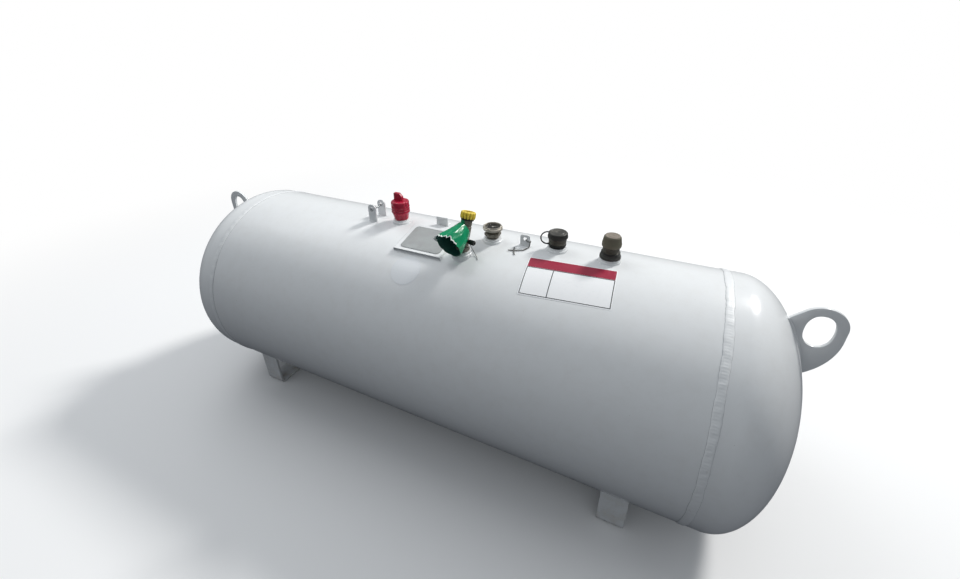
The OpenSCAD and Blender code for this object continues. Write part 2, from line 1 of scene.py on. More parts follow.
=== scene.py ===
"""The dressed model of a horizontal pressure tank, its fittings and its legs.

Every surface is worked out with numpy in millimetres, in the part's own frame (origin on
the ground below the middle, X along the tank, -Y to the front, Z up), and becomes a mesh in
metres. Each sub-assembly is a class, and each finish is a frozen dataclass.
"""
import logging
import math
from collections.abc import Callable
from dataclasses import dataclass, field
from enum import Enum
import bpy
import numpy as np
from mathutils import Matrix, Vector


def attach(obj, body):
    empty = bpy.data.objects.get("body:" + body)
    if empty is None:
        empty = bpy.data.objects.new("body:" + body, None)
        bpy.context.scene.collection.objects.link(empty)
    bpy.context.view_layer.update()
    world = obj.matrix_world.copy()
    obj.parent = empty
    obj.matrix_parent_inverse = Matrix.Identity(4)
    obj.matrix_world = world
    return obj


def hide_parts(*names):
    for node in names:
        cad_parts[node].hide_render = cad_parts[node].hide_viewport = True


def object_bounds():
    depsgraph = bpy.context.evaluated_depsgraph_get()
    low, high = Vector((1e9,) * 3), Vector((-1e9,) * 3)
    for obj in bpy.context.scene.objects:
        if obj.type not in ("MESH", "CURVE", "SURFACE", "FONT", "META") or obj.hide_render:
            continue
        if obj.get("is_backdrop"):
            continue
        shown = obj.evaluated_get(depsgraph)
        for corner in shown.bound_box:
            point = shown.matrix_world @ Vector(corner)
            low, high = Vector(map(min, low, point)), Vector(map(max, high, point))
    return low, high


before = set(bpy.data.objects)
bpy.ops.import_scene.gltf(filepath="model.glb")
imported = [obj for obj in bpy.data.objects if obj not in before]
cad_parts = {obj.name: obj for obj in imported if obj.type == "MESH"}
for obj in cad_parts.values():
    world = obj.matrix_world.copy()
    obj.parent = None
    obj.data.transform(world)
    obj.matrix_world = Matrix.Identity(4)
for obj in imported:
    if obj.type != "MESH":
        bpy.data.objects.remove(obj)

LOG = logging.getLogger("tank")
MM = 0.001
BODY = "root"
Array = np.ndarray
Change = Callable[[Array, Array, Array], Array]
Limit = Callable[[Array], Array]
WHITE = (1.0, 1.0, 1.0, 1.0)


class Side(Enum):
    """Which end of the tank a piece stands at."""

    LEFT = -1
    RIGHT = 1


def unit(vectors: Array) -> Array:
    """Vectors scaled to length one along their last axis."""
    return vectors / np.maximum(np.linalg.norm(vectors, axis=-1, keepdims=True), 1e-12)


def turns(count: int) -> Array:
    """Even turns round a circle, in radians from nought."""
    return np.linspace(0, 2 * math.pi, count, endpoint=False)


def box(x0: float, x1: float, y0: float, y1: float) -> list:
    """A rectangle's corners: along X at y0, then back along X at y1."""
    return [(x0, y0), (x1, y0), (x1, y1), (x0, y1)]


def swung(line: Array, angle: float) -> Array:
    """A plane's points turned about its origin by an angle in radians."""
    c, s = math.cos(angle), math.sin(angle)
    return line @ np.array([[c, s], [-s, c]])


def oval(middle: tuple, width: float, height: float, count: int,
         fullness: float = 2.0) -> Array:
    """A closed oval, |x/a|^n + |y/b|^n = 1, from even turns.

    Args:
        middle: the oval's middle.
        width: twice its half axis a along X.
        height: twice its half axis b along Y.
        count: how many points.
        fullness: the power n, two for an ellipse and more for a fuller oval.

    Returns:
        The oval's points.
    """
    wave = np.stack([np.cos(turns(count)), np.sin(turns(count))], -1)
    reach = np.sign(wave) * np.abs(wave) ** (2 / fullness)
    return np.array(middle) + reach * (width / 2, height / 2)


def rounded(points: list, radii: list | float, steps: int = 6, closed: bool = False) -> Array:
    """Rounds the corners of a line of points.

    Each corner becomes an arc of its radius that is tangent to both its edges: the arc's
    centre lies on the corner's bisector, and its points turn evenly from one tangent
    point to the other.

    Args:
        points: the corners, in two or three dimensions.
        radii: one radius, or one for each corner.
        steps: points on each arc.
        closed: True joins the last corner to the first.

    Returns:
        The rounded line, without repeated points.
    """
    p = np.asarray(points, float)
    r = np.broadcast_to(np.asarray(radii, float), (len(p),)).astype(float)
    before, after = np.roll(p, 1, axis=0), np.roll(p, -1, axis=0)
    a, b = unit(before - p), unit(after - p)
    half = 0.5 * np.arccos(np.clip((a * b).sum(-1), -0.999999, 0.999999))
    reach = (r / np.tan(half))[:, None]
    centre = p + unit(a + b + 1e-12) * (r / np.sin(half))[:, None]
    start, end = p + a * reach - centre, p + b * reach - centre
    turn = (math.pi - 2 * half)[:, None, None]
    s = np.linspace(0, 1, steps)[None, :, None]
    arcs = (np.sin((1 - s) * turn) * start[:, None] + np.sin(s * turn) * end[:, None]) \
        / np.maximum(np.sin(turn), 1e-9) + centre[:, None]
    if closed:
        line = arcs.reshape(-1, p.shape[1])
    else:
        line = np.vstack([p[:1], arcs[1:-1].reshape(-1, p.shape[1]), p[-1:]])
    keep = np.r_[True, np.linalg.norm(np.diff(line, axis=0), axis=1) > 1e-4]
    return line[keep]


def resampled(line: Array, count: int, closed: bool = False) -> Array:
    """Spaces points evenly along a line by its running length.

    Args:
        line: the points of the line.
        count: how many points are wanted.
        closed: True where the line's end joins its start.

    Returns:
        The evenly spaced points.
    """
    full = np.vstack([line, line[:1]]) if closed else line
    run = np.r_[0, np.cumsum(np.linalg.norm(np.diff(full, axis=0), axis=1))]
    at = np.linspace(0, run[-1], count, endpoint=not closed)
    return np.stack([np.interp(at, run, full[:, k]) for k in range(full.shape[1])], -1)


@dataclass
class Surface:
    """Points in millimetres, faces as rows of point numbers, and a finish number a face."""

    points: Array
    faces: list
    marks: list = field(default_factory=list)

    def __post_init__(self) -> None:
        """Gives every face the first finish where none is named."""
        if not self.marks:
            self.marks = [np.zeros(len(f), int) for f in self.faces]

    def volume(self) -> float:
        """Signed volume: positive where a closed surface's faces point outwards.

        Returns:
            The volume.
        """
        total = 0.0
        for f in self.faces:
            for k in range(1, f.shape[1] - 1):
                a, b, c = (self.points[f[:, i]] for i in (0, k, k + 1))
                total += float(np.einsum("ij,ij->i", a, np.cross(b, c)).sum()) / 6
        return total

    def outward(self) -> "Surface":
        """Turns the faces of a closed surface so that they point outwards."""
        if self.volume() < 0:
            self.faces = [f[:, ::-1] for f in self.faces]
        return self

    def marked(self, mark: int) -> "Surface":
        """Gives every face the finish of that number."""
        self.marks = [np.full(len(f), mark) for f in self.faces]
        return self

    def moved(self, step: tuple) -> "Surface":
        """Shifts every point by a step."""
        self.points = self.points + np.asarray(step, float)
        return self

    def leaned(self, lean: float, turn: float) -> "Surface":
        """Leans the Z axis to the back, then swings the X axis to the front.

        Args:
            lean: degrees about X, taken as less than nought.
            turn: degrees about Z, taken as less than nought.

        Returns:
            This surface.
        """
        a, b = math.radians(lean), math.radians(turn)
        x, y, z = self.points.T
        y, z = y * math.cos(a) + z * math.sin(a), z * math.cos(a) - y * math.sin(a)
        x, y = x * math.cos(b) + y * math.sin(b), y * math.cos(b) - x * math.sin(b)
        self.points = np.stack([x, y, z], -1)
        return self

    def placed(self, origin: tuple, along: tuple, across: tuple) -> "Surface":
        """Carries local points to a frame: X across, Z along, Y as both make it.

        Args:
            origin: where the local origin goes.
            along: where the local Z axis points.
            across: where the local X axis points, made square to Z.

        Returns:
            This surface.
        """
        z = unit(np.asarray(along, float))
        x = np.asarray(across, float)
        x = unit(x - z * (x @ z))
        basis = np.stack([x, np.cross(z, x), z])
        self.points = self.points @ basis + np.asarray(origin, float)
        return self

    def joined(self, *others: "Surface") -> "Surface":
        """One surface of this one and others, each with its own finish numbers.

        Args:
            others: the other surfaces.

        Returns:
            The joined surface.
        """
        points, faces, marks, first = [], [], [], 0
        for s in (self, *others):
            points.append(s.points)
            faces += [f + first for f in s.faces]
            marks += s.marks
            first += len(s.points)
        return Surface(np.vstack(points), faces, marks)


def grid(points: Array, loop: bool = False) -> Surface:
    """Makes a closed surface of a grid of points, whose last column joins the first.

    Args:
        points: rows by columns by three.
        loop: True joins the last row to the first; otherwise a fan to its middle closes
            each end row.

    Returns:
        The surface, its faces turned outwards.
    """
    rows, columns = points.shape[:2]
    number = np.arange(rows * columns).reshape(rows, columns)
    down = np.vstack([number, number[:1]]) if loop else number
    full = np.hstack([down, down[:, :1]])
    quads = np.stack([full[:-1, :-1], full[1:, :-1], full[1:, 1:], full[:-1, 1:]], -1)
    faces, flat = [quads.reshape(-1, 4)], [points.reshape(-1, 3)]
    ends = () if loop else ((0, 1), (-1, -1))
    for k, (row, order) in enumerate(ends):
        ring, pole = number[row], np.full(columns, rows * columns + k)
        faces.append(np.stack([pole, ring, np.roll(ring, -1)], -1)[:, ::order])
        flat.append(points[row].mean(0)[None])
    return Surface(np.vstack(flat), faces).outward()


def turned(profile: Array, columns: int = 96, closed: bool = False,
           change: Change | None = None, limit: Limit | None = None) -> Surface:
    """Turns a profile round the local Z axis.

    A point's place is (r cos t, r sin t, z), where r and z come from the profile, t is the
    turn, change(r, z, t) adds to r, and limit(t) is the most that r may be, as on a
    hexagon.

    Args:
        profile: radius and height of each point; a profile that isn't closed gets a pole
            at each end.
        columns: points round the axis.
        closed: True for a ring, whose profile closes on itself.
        change: what is added to the radius, from arrays of r, z and t.
        limit: the largest radius at each turn.

    Returns:
        The closed surface.
    """
    t = turns(columns)[None, :]
    r = np.repeat(profile[:, :1], columns, axis=1)
    z = np.repeat(profile[:, 1:2], columns, axis=1)
    if limit is not None:
        r = np.minimum(r, limit(t))
    if change is not None:
        r = r + np.where(r > 1e-6, change(r, z, t + 0 * r), 0)
    points = np.stack([r * np.cos(t), r * np.sin(t), z], -1)
    return grid(points, closed)


def hexagon(flats: float) -> Limit:
    """The limit of a hexagon of that width across its flats.

    Args:
        flats: that width.

    Returns:
        The limit.
    """
    def radius(t: Array) -> Array:
        """Half the width across flats over the cosine of the turn to the nearest flat."""
        away = np.mod(t + math.pi / 6, math.pi / 3) - math.pi / 6
        return flats / 2 / np.cos(away)
    return radius


def tube(path: Array, radius: float | Array, columns: int = 12, closed: bool = False,
         up: tuple = (0.0, 0.0, 1.0)) -> Surface:
    """Carries a circle along a path.

    At each point the circle lies across the path's direction: one of its axes is the
    direction crossed with up, and the other is crossed with both.

    Args:
        path: the points of the path.
        radius: one radius, or one for each point.
        columns: points round the circle.
        closed: True joins the path's end to its start.
        up: a direction that the path never runs along.

    Returns:
        The closed surface.
    """
    step = np.roll(path, -1, 0) - np.roll(path, 1, 0) if closed else np.gradient(path, axis=0)
    ahead = unit(step)
    side = unit(np.cross(ahead, np.asarray(up, float)))
    over = np.cross(side, ahead)
    t = turns(columns)
    r = np.broadcast_to(np.asarray(radius, float), (len(path),))[:, None, None]
    ring = side[:, None] * np.cos(t)[None, :, None] + over[:, None] * np.sin(t)[None, :, None]
    points = path[:, None] + r * ring
    return grid(points, closed)


def weld_bead(path: Array, radius: float, pitch: float,
              up: tuple = (0.0, 0.0, 1.0)) -> Surface:
    """A closed weld bead: a tube whose radius rises and falls every few millimetres.

    The radius is the mean radius times 1 + 0.09 cos(2 pi s / pitch) + 0.05 sin(s / 11),
    where s is the running length.

    Args:
        path: the bead's middle, whose end joins its start.
        radius: its mean radius.
        pitch: the length of one ripple.
        up: a direction that the path never runs along.

    Returns:
        The closed surface.
    """
    full = np.vstack([path, path[:1]])
    length = np.linalg.norm(np.diff(full, axis=0), axis=1).sum()
    count = max(12, int(length / pitch * 5))
    s = np.linspace(0, length, count, endpoint=False)
    r = radius * (1 + 0.09 * np.cos(2 * math.pi * s / pitch) + 0.05 * np.sin(s / 11))
    return tube(resampled(path, count, True), r, 10, True, up)


def strap(path: Array, across: tuple, width: float, thickness: float,
          edge: float) -> Surface:
    """A flat bar bent along a path: a rounded rectangle carried along the points.

    The rectangle's width runs across the path and its thickness along the path's normal,
    which is the direction crossed with across.

    Args:
        path: the middle of the bar's thickness.
        across: the direction of the bar's width, the same all along.
        width: the bar's width.
        thickness: the bar's thickness.
        edge: the radius of its four edges.

    Returns:
        The closed surface, with its ends across the path.
    """
    w, t = width / 2, thickness / 2
    section = rounded(box(-w, w, -t, t), edge, 4, closed=True)
    x = np.asarray(across, float)
    normal = unit(np.cross(unit(np.gradient(path, axis=0)), x))
    points = path[:, None] + section[None, :, :1] * x + section[None, :, 1:] * normal[:, None]
    return grid(points)


def slab(outline: Array, thickness: float, edge: float = 0.6, steps: int = 4) -> Surface:
    """A flat plate with rounded edges: its outline in XY, its lower face at Z 0.

    Towards each face the outline draws in along its own normals by edge (1 - sin a) where
    it has risen by edge (1 - cos a), so the edge is a quarter circle.

    Args:
        outline: the closed outline.
        thickness: the plate's thickness.
        edge: the radius of its edges.
        steps: points on each edge.

    Returns:
        The closed surface.
    """
    ahead = np.roll(outline, -1, 0) - np.roll(outline, 1, 0)
    out = unit(np.stack([ahead[:, 1], -ahead[:, 0]], -1))
    if (out * (outline - outline.mean(0))).sum() < 0:
        out = -out
    a = np.linspace(0, math.pi / 2, steps)
    inset = edge * (1 - np.sin(a))
    low = edge * (1 - np.cos(a))
    draws = np.r_[inset, inset[::-1]]
    levels = np.r_[low, thickness - low[::-1]]
    flat = outline[None] - out[None] * draws[:, None, None]
    points = np.concatenate([flat, np.broadcast_to(levels[:, None, None],
                                                   flat.shape[:2] + (1,))], -1)
    return grid(points)


def by_turn(line: Array, centre: Array, angles: Array) -> Array:
    """The distance of a closed line from a centre at each turn round that centre.

    Args:
        line: the closed line, met once at each turn.
        centre: the centre.
        angles: the turns, in radians.

    Returns:
        One distance for each turn.
    """
    away = resampled(line, 4000, True) - centre
    angle = np.mod(np.arctan2(away[:, 1], away[:, 0]), 2 * math.pi)
    order = np.argsort(angle)
    return np.interp(angles, angle[order], np.linalg.norm(away, axis=1)[order],
                     period=2 * math.pi)


def holed_plate(outline: Array, hole: Array, thickness: float, edge: float,
                columns: int) -> Surface:
    """A plate with one hole: both lines in XY, its middle plane at Z 0.

    Both lines are read as distances from the hole's middle. At each turn the section is a
    rectangle from the hole to the outline, with its four corners rounded, and the sections
    close on each other round the hole.

    Args:
        outline: the plate's closed outline.
        hole: the hole's closed line.
        thickness: the plate's thickness.
        edge: the radius of its edges.
        columns: sections round the hole.

    Returns:
        The closed surface.
    """
    centre = (hole.max(0) + hole.min(0)) / 2
    t = turns(columns)
    inner = by_turn(hole, centre, t)
    outer = by_turn(outline, centre, t)
    h = thickness / 2
    a = np.linspace(0, math.pi / 2, 4)
    c, s = edge * (1 - np.cos(a)), edge * (1 - np.sin(a))
    out_r = [outer[None] - s[:, None], outer[None] - c[:, None]]
    out_z = [h - c, -h + s]
    in_r = [inner[None] + s[:, None], inner[None] + c[:, None]]
    in_z = [-h + c, h - s]
    r = np.vstack(out_r + in_r)
    z = np.concatenate(out_z + in_z)
    points = np.stack([centre[0] + r * np.cos(t), centre[1] + r * np.sin(t),
                       np.broadcast_to(z[:, None], r.shape)], -1)
    return grid(points, loop=True)


def wave_noise(*axes: Array, seed: int) -> Array:
    """Smooth noise between about -1 and 1: a sum of sines with fixed random slopes.

    Args:
        axes: the coordinates, as arrays that broadcast.
        seed: the seed of the slopes.

    Returns:
        One value for each place.
    """
    rng = np.random.default_rng(seed)
    total, terms = 0.0, 7
    for _ in range(terms):
        slopes = rng.normal(0, 1, len(axes))
        total = total + np.sin(sum(k * a for k, a in zip(slopes, axes)) + rng.uniform(0, 6.3))
    return total / math.sqrt(terms)


class Value:
    """One output of a node, with arithmetic that adds Math nodes."""

    def __init__(self, graph: "Graph", socket: bpy.types.NodeSocket) -> None:
        """Keeps the graph and the socket."""
        self.graph, self.socket = graph, socket

    def __add__(self, other: "Value | float") -> "Value":
        """Sum."""
        return self.graph.number("ADD", self, other)

    __radd__ = __add__

    def __mul__(self, other: "Value | float") -> "Value":
        """Product."""
        return self.graph.number("MULTIPLY", self, other)

    __rmul__ = __mul__

    def __sub__(self, other: "Value | float") -> "Value":
        """Difference."""
        return self.graph.number("SUBTRACT", self, other)

    def __rsub__(self, other: float) -> "Value":
        """A number less this value."""
        return self.graph.number("SUBTRACT", other, self)

    def __lt__(self, other: "Value | float") -> "Value":
        """One where this value is less, else nought."""
        return self.graph.number("LESS_THAN", self, other)

    def ramp(self, low: float, high: float) -> "Value":
        """Nought at low, one at high, smooth between, and held beyond both."""
        return self.graph.node(
            "ShaderNodeMapRange", {"interpolation_type": "SMOOTHSTEP"},
            {"Value": self, "From Min": low, "From Max": high})


class Graph:
    """The node tree of one material or world, emptied, with its output."""

    def __init__(self, owner: bpy.types.Material | bpy.types.World,
                 output: str = "ShaderNodeOutputMaterial") -> None:
        """Clears the owner's nodes and adds its output.

        Args:
            owner: the material or world.
            output: the type of its output node.
        """
        owner.use_nodes = True
        self.tree = owner.node_tree
        self.tree.nodes.clear()
        self.end = self.tree.nodes.new(output)

    def close(self, shader: Value) -> None:
        """Links the last shader to the output."""
        self.tree.links.new(shader.socket, self.end.inputs["Surface"])

    def node(self, kind: str, settings: dict | None = None, inputs: dict | None = None,
             out: int | str = 0) -> Value:
        """Adds one node.

        Args:
            kind: the node's type.
            settings: its own settings.
            inputs: values or links of its sockets, by name or number.
            out: the output that is wanted.

        Returns:
            That output.
        """
        made = self.tree.nodes.new(kind)
        for key, value in (settings or {}).items():
            setattr(made, key, value)
        for key, value in (inputs or {}).items():
            if isinstance(value, Value):
                self.tree.links.new(value.socket, made.inputs[key])
            else:
                made.inputs[key].default_value = value
        return Value(self, made.outputs[out])

    def number(self, operation: str, first: Value | float, second: Value | float) -> Value:
        """A Math node on two values or plain numbers."""
        return self.node("ShaderNodeMath", {"operation": operation}, {0: first, 1: second})

    def place(self, stretch: tuple = (1.0, 1.0, 1.0)) -> Value:
        """The Object coordinates, each axis stretched."""
        at = self.node("ShaderNodeTexCoord", out="Object")
        return self.node("ShaderNodeVectorMath", {"operation": "MULTIPLY"},
                         {0: at, 1: stretch})

    def height(self) -> Value:
        """The height above the ground, in metres."""
        at = self.node("ShaderNodeTexCoord", out="Object")
        return self.node("ShaderNodeSeparateXYZ", None, {0: at}, "Z")

    def noise(self, scale: float, detail: float, roughness: float,
              stretch: tuple = (1.0, 1.0, 1.0)) -> Value:
        """Noise on the Object coordinates, between nought and one."""
        return self.node("ShaderNodeTexNoise", None,
                         {"Vector": self.place(stretch), "Scale": scale, "Detail": detail,
                          "Roughness": roughness})

    def mix(self, factor: Value | float, first: "Value | tuple",
            second: "Value | tuple") -> Value:
        """A blend of two colours: the first at nought, the second at one."""
        return self.node("ShaderNodeMix", {"data_type": "RGBA"},
                         {0: factor, 6: first, 7: second}, 2)

    def spots(self, scale: float, size: float, share: float) -> Value:
        """Scattered round spots: one inside, on a share of a cell pattern's cells.

        Args:
            scale: the cells' scale.
            size: a spot's size in a cell.
            share: the share of cells that have one.

        Returns:
            The spots.
        """
        cells = {"Vector": self.place(), "Scale": scale, "Randomness": 1.0}
        near = self.node("ShaderNodeTexVoronoi", None, dict(cells), "Distance")
        tint = self.node("ShaderNodeTexVoronoi", None, dict(cells), "Color")
        pick = self.node("ShaderNodeSeparateXYZ", None, {0: tint}, "X")
        return (1.0 - near.ramp(size * 0.5, size)) * (pick < share)

    def bump(self, height: Value, distance: float, strength: float,
             normal: Value | None = None) -> Value:
        """A Bump node over a height, after another normal where one is given.

        Args:
            height: the height.
            distance: its reach, in metres.
            strength: its strength.
            normal: the other normal.

        Returns:
            The bumped normal.
        """
        inputs = {"Height": height, "Distance": distance, "Strength": strength}
        if normal is not None:
            inputs["Normal"] = normal
        return self.node("ShaderNodeBump", None, inputs)

    def finish(self, colour: "Value | tuple", roughness: "Value | float",
               normal: Value | None = None, **constants: "Value | float | tuple") -> None:
        """Ends the tree in one Principled shader.

        Args:
            colour: base colour.
            roughness: roughness.
            normal: the bumped normal.
            constants: other sockets, named with low lines for spaces.
        """
        inputs = {"Base Color": colour, "Roughness": roughness}
        if normal is not None:
            inputs["Normal"] = normal
        inputs |= {key.replace("_", " "): value for key, value in constants.items()}
        self.close(self.node("ShaderNodeBsdfPrincipled", None, inputs))


def dimmed(colour: tuple, share: float) -> tuple:
    """A colour times a share, with full cover."""
    return (*(c * share for c in colour[:3]), 1.0)


def tone(red: int, green: int, blue: int) -> tuple:
    """A colour from its 8-bit screen values, as linear light with full cover.

    Args:
        red: from 0 to 255.
        green: from 0 to 255.
        blue: from 0 to 255.

    Returns:
        The colour.
    """
    c = np.array([red, green, blue]) / 255
    linear = np.where(c <= 0.04045, c / 12.92, ((c + 0.055) / 1.055) ** 2.4)
    return (*map(float, linear), 1.0)


class Finish:
    """A surface finish. Each kind draws its own node tree on a new material."""

    def draw(self, g: Graph) -> None:
        """Draws the finish's nodes."""
        raise NotImplementedError

    def material(self) -> bpy.types.Material:
        """The material of this finish, made once.

        Returns:
            The material.
        """
        label = f"{self.name}_finish"
        made = bpy.data.materials.get(label)
        if made is None:
            made = bpy.data.materials.new(label)
            self.draw(Graph(made))
        return made


@dataclass(frozen=True)
class GlossPaint(Finish):
    """Sprayed gloss paint with faint orange peel, dust, and a few specks of dirt."""

    name: str = "gloss_white_paint"
    colour: tuple = tone(233, 235, 236)
    dust: tuple = tone(176, 166, 148)
    speck: tuple = tone(96, 72, 50)
    roughness: float = 0.16
    specks: float = 0.05
    dusty_to: float = 0.20

    def draw(self, g: Graph) -> None:
        """Tone drifts slowly, dust gathers low down, specks sit in scattered cells.

        Args:
            g: the new material's graph.
        """
        drift = g.noise(2.2, 4, 0.6)
        base = g.mix(drift, self.colour, dimmed(self.colour, 0.94))
        fine = g.noise(26, 6, 0.65)
        low = 1.0 - g.height().ramp(0.0, self.dusty_to)
        film = (low * 0.5 + 0.06) * fine.ramp(0.4, 0.75)
        base = g.mix(film, base, self.dust)
        dots = g.spots(34, 0.045, self.specks) + g.spots(80, 0.07, self.specks * 0.5)
        base = g.mix(dots * 0.6, base, self.speck)
        rough = self.roughness + 0.10 * fine + 0.35 * film + 0.3 * dots
        peel = g.bump(g.noise(330, 2, 0.5), 0.00012, 0.5)
        wave = g.bump(g.noise(9, 1, 0.4), 0.0012, 0.25, peel)
        g.finish(base, rough, wave, Specular_IOR_Level=0.25)


@dataclass(frozen=True)
class WeldPaint(Finish):
    """The same paint over a weld: thicker, duller, with dirt in the hollows."""

    name: str = "painted_weld"
    colour: tuple = tone(230, 232, 233)
    dirt: tuple = tone(150, 140, 122)

    def draw(self, g: Graph) -> None:
        """Fine lumps, and dirt in the low places of a coarser noise.

        Args:
            g: the new material's graph.
        """
        lumps = g.noise(420, 3, 0.6)
        dirt = g.noise(60, 5, 0.7).ramp(0.58, 0.8) * 0.35
        base = g.mix(dirt, self.colour, self.dirt)
        g.finish(base, 0.32 + 0.2 * lumps, g.bump(lumps, 0.0004, 0.7), Coat_Weight=0.15)


@dataclass(frozen=True)
class Metal(Finish):
    """Bare or plated metal, dulled by weather, with fine scratches along one axis."""

    name: str = "dull_metal"
    colour: tuple = tone(150, 146, 138)
    stain: tuple = tone(84, 74, 60)
    stains: float = 0.5
    metallic: float = 0.85
    roughness: float = 0.38
    grain: tuple = (1.0, 1.0, 8.0)

    def draw(self, g: Graph) -> None:
        """Stains lie where a cloudy noise is high, and take the shine away.

        Args:
            g: the new material's graph.
        """
        cloud = g.noise(70, 6, 0.7).ramp(0.42, 0.72) * self.stains
        scratch = g.noise(600, 2, 0.6, self.grain)
        base = g.mix(cloud, self.colour, self.stain)
        base = g.mix(scratch * 0.25, base, dimmed(self.colour, 0.7))
        rough = self.roughness + 0.3 * cloud + 0.12 * scratch
        g.finish(base, rough, g.bump(scratch, 0.00008, 0.6),
                 Metallic=self.metallic * (1.0 - 0.6 * cloud))


@dataclass(frozen=True)
class Plastic(Finish):
    """Moulded plastic: fine grain, sun-faded patches, scuffs that are paler."""

    name: str = "plastic"
    colour: tuple = tone(200, 30, 60)
    faded: tuple = tone(214, 70, 90)
    roughness: float = 0.42
    fade: float = 0.5
    scuff: float = 0.25
    grain: float = 0.00006
    shine: float = 0.5

    def draw(self, g: Graph) -> None:
        """Fading follows a slow noise, and scuffs a stretched fine one.

        Args:
            g: the new material's graph.
        """
        slow = g.noise(34, 4, 0.6).ramp(0.35, 0.75)
        mark = g.noise(240, 4, 0.7, (1.0, 3.0, 0.7)).ramp(0.6, 0.8) * self.scuff
        base = g.mix(slow * self.fade, self.colour, self.faded)
        base = g.mix(mark, base, self.faded)
        grain = g.noise(900, 2, 0.5)
        g.finish(base, self.roughness + 0.14 * slow + 0.15 * mark,
                 g.bump(grain, self.grain, 0.8), Specular_IOR_Level=self.shine)


@dataclass(frozen=True)
class Sheet(Finish):
    """Thin rolled sheet, weathered: grain along X, cloudy stains, low shine."""

    name: str = "rolled_sheet"
    colour: tuple = tone(160, 164, 163)
    stain: tuple = tone(160, 160, 161)
    metallic: float = 0.25

    def draw(self, g: Graph) -> None:
        """Long fine streaks over cloudy stains.

        Args:
            g: the new material's graph.
        """
        streak = g.noise(160, 4, 0.6, (0.6, 9.0, 9.0))
        cloud = g.noise(30, 5, 0.65).ramp(0.35, 0.7)
        base = g.mix(cloud * 0.7, self.colour, self.stain)
        base = g.mix(streak.ramp(0.5, 0.8) * 0.3, base, tone(206, 207, 208))
        g.finish(base, 0.42 + 0.2 * cloud, g.bump(streak, 0.00006, 0.6),
                 Metallic=self.metallic)


@dataclass(frozen=True)
class Film(Finish):
    """Printed or clear film stuck on the paint, with a faint texture."""

    name: str = "white_film"
    colour: tuple = tone(240, 240, 241)
    worn: tuple = tone(222, 222, 224)
    roughness: float = 0.3

    def draw(self, g: Graph) -> None:
        """Wear is a fine cloud, and tiny bubbles lift the film.

        Args:
            g: the new material's graph.
        """
        cloud = g.noise(90, 5, 0.7).ramp(0.5, 0.8)
        bubbles = g.noise(160, 2, 0.5)
        g.finish(g.mix(cloud * 0.6, self.colour, self.worn), self.roughness + 0.2 * cloud,
                 g.bump(bubbles, 0.00008, 0.4))


@dataclass(frozen=True)
class Backdrop(Finish):
    """The pale floor: pale with the object's shadow near by, white far off to the camera.

    Only the camera sees the pale tone; light that bounces finds a middle grey.
    """

    name: str = "pale_floor"
    pale: tuple = (0.88, 0.88, 0.88, 1.0)
    bounce: tuple = (0.095, 0.101, 0.116, 1.0)
    near: float = 1.6
    far: float = 4.2

    def draw(self, g: Graph) -> None:
        """A dull surface, blended into white emission by the distance from the middle.

        Args:
            g: the new material's graph.
        """
        seen = g.node("ShaderNodeLightPath", out="Is Camera Ray")
        mottle = g.mix(g.noise(0.7, 2, 0.5), self.pale, dimmed(self.pale, 0.985))
        dull = g.node("ShaderNodeBsdfPrincipled", None,
                      {"Base Color": g.mix(seen, self.bounce, mottle), "Roughness": 0.9,
                       "Specular IOR Level": 0.0}, 0)
        white = g.node("ShaderNodeEmission", None, {"Strength": 1.0})
        away = g.node("ShaderNodeVectorMath", {"operation": "LENGTH"}, {0: g.place()}, 1)
        share = away.ramp(self.near, self.far) * seen
        g.close(g.node("ShaderNodeMixShader", None, {0: share, 1: dull, 2: white}))


PAINT = GlossPaint()
WELD = WeldPaint()
# Darker grey paint for the outermost rows of a girth bead: painted shade along the weld's toe,
# with dirt in it.
WELD_TOE_SHADE_AND_DIRT = WeldPaint("weld_toe_painted_shade_and_dirt", tone(164, 168, 170), tone(110, 106, 98))
BRIGHT_STEEL = Metal("bright_wire", tone(188, 190, 192), tone(110, 104, 94), 0.3, 0.95, 0.28)
DARK_WIRE = Metal("dull_wire", tone(98, 98, 94), tone(66, 60, 52), 0.6, 0.5, 0.45)
BRASS = Metal("weathered_brass", tone(150, 124, 82), tone(92, 78, 56), 0.7, 0.8, 0.42)
GREY_CAST = Metal("grey_casting", tone(134, 129, 118), tone(64, 58, 48), 0.7, 0.5, 0.42)
PALE_CAST = Metal("pale_casting", tone(196, 190, 178), tone(96, 84, 68), 0.75, 0.5, 0.36)
DARK_BRASS = Metal("dark_brass", tone(80, 77, 66), tone(44, 42, 36), 0.8, 0.2, 0.4)
CHARCOAL = Metal("charcoal_casting", tone(60, 60, 56), tone(34, 33, 30), 0.7, 0.1, 0.5)
SHEET = Sheet()
RED = Plastic("red_vinyl", tone(166, 10, 48), tone(218, 38, 78), 0.32, 0.45, 0.3)
YELLOW = Plastic("yellow_plastic", tone(246, 216, 62), tone(246, 218, 104), 0.36, 0.5, 0.3)
# Dark yellow for the handwheel's grooves, top hollow and underside: painted shade.
YELLOW_GROOVE_SHADE = Plastic("yellow_groove_painted_shade", tone(104, 70, 14), tone(140, 100, 26), 0.6, 0.4, 0.2)
GREEN = Plastic("green_plastic", tone(0, 134, 88), tone(0, 160, 110), 0.2, 0.6, 0.2, shine=0.3)
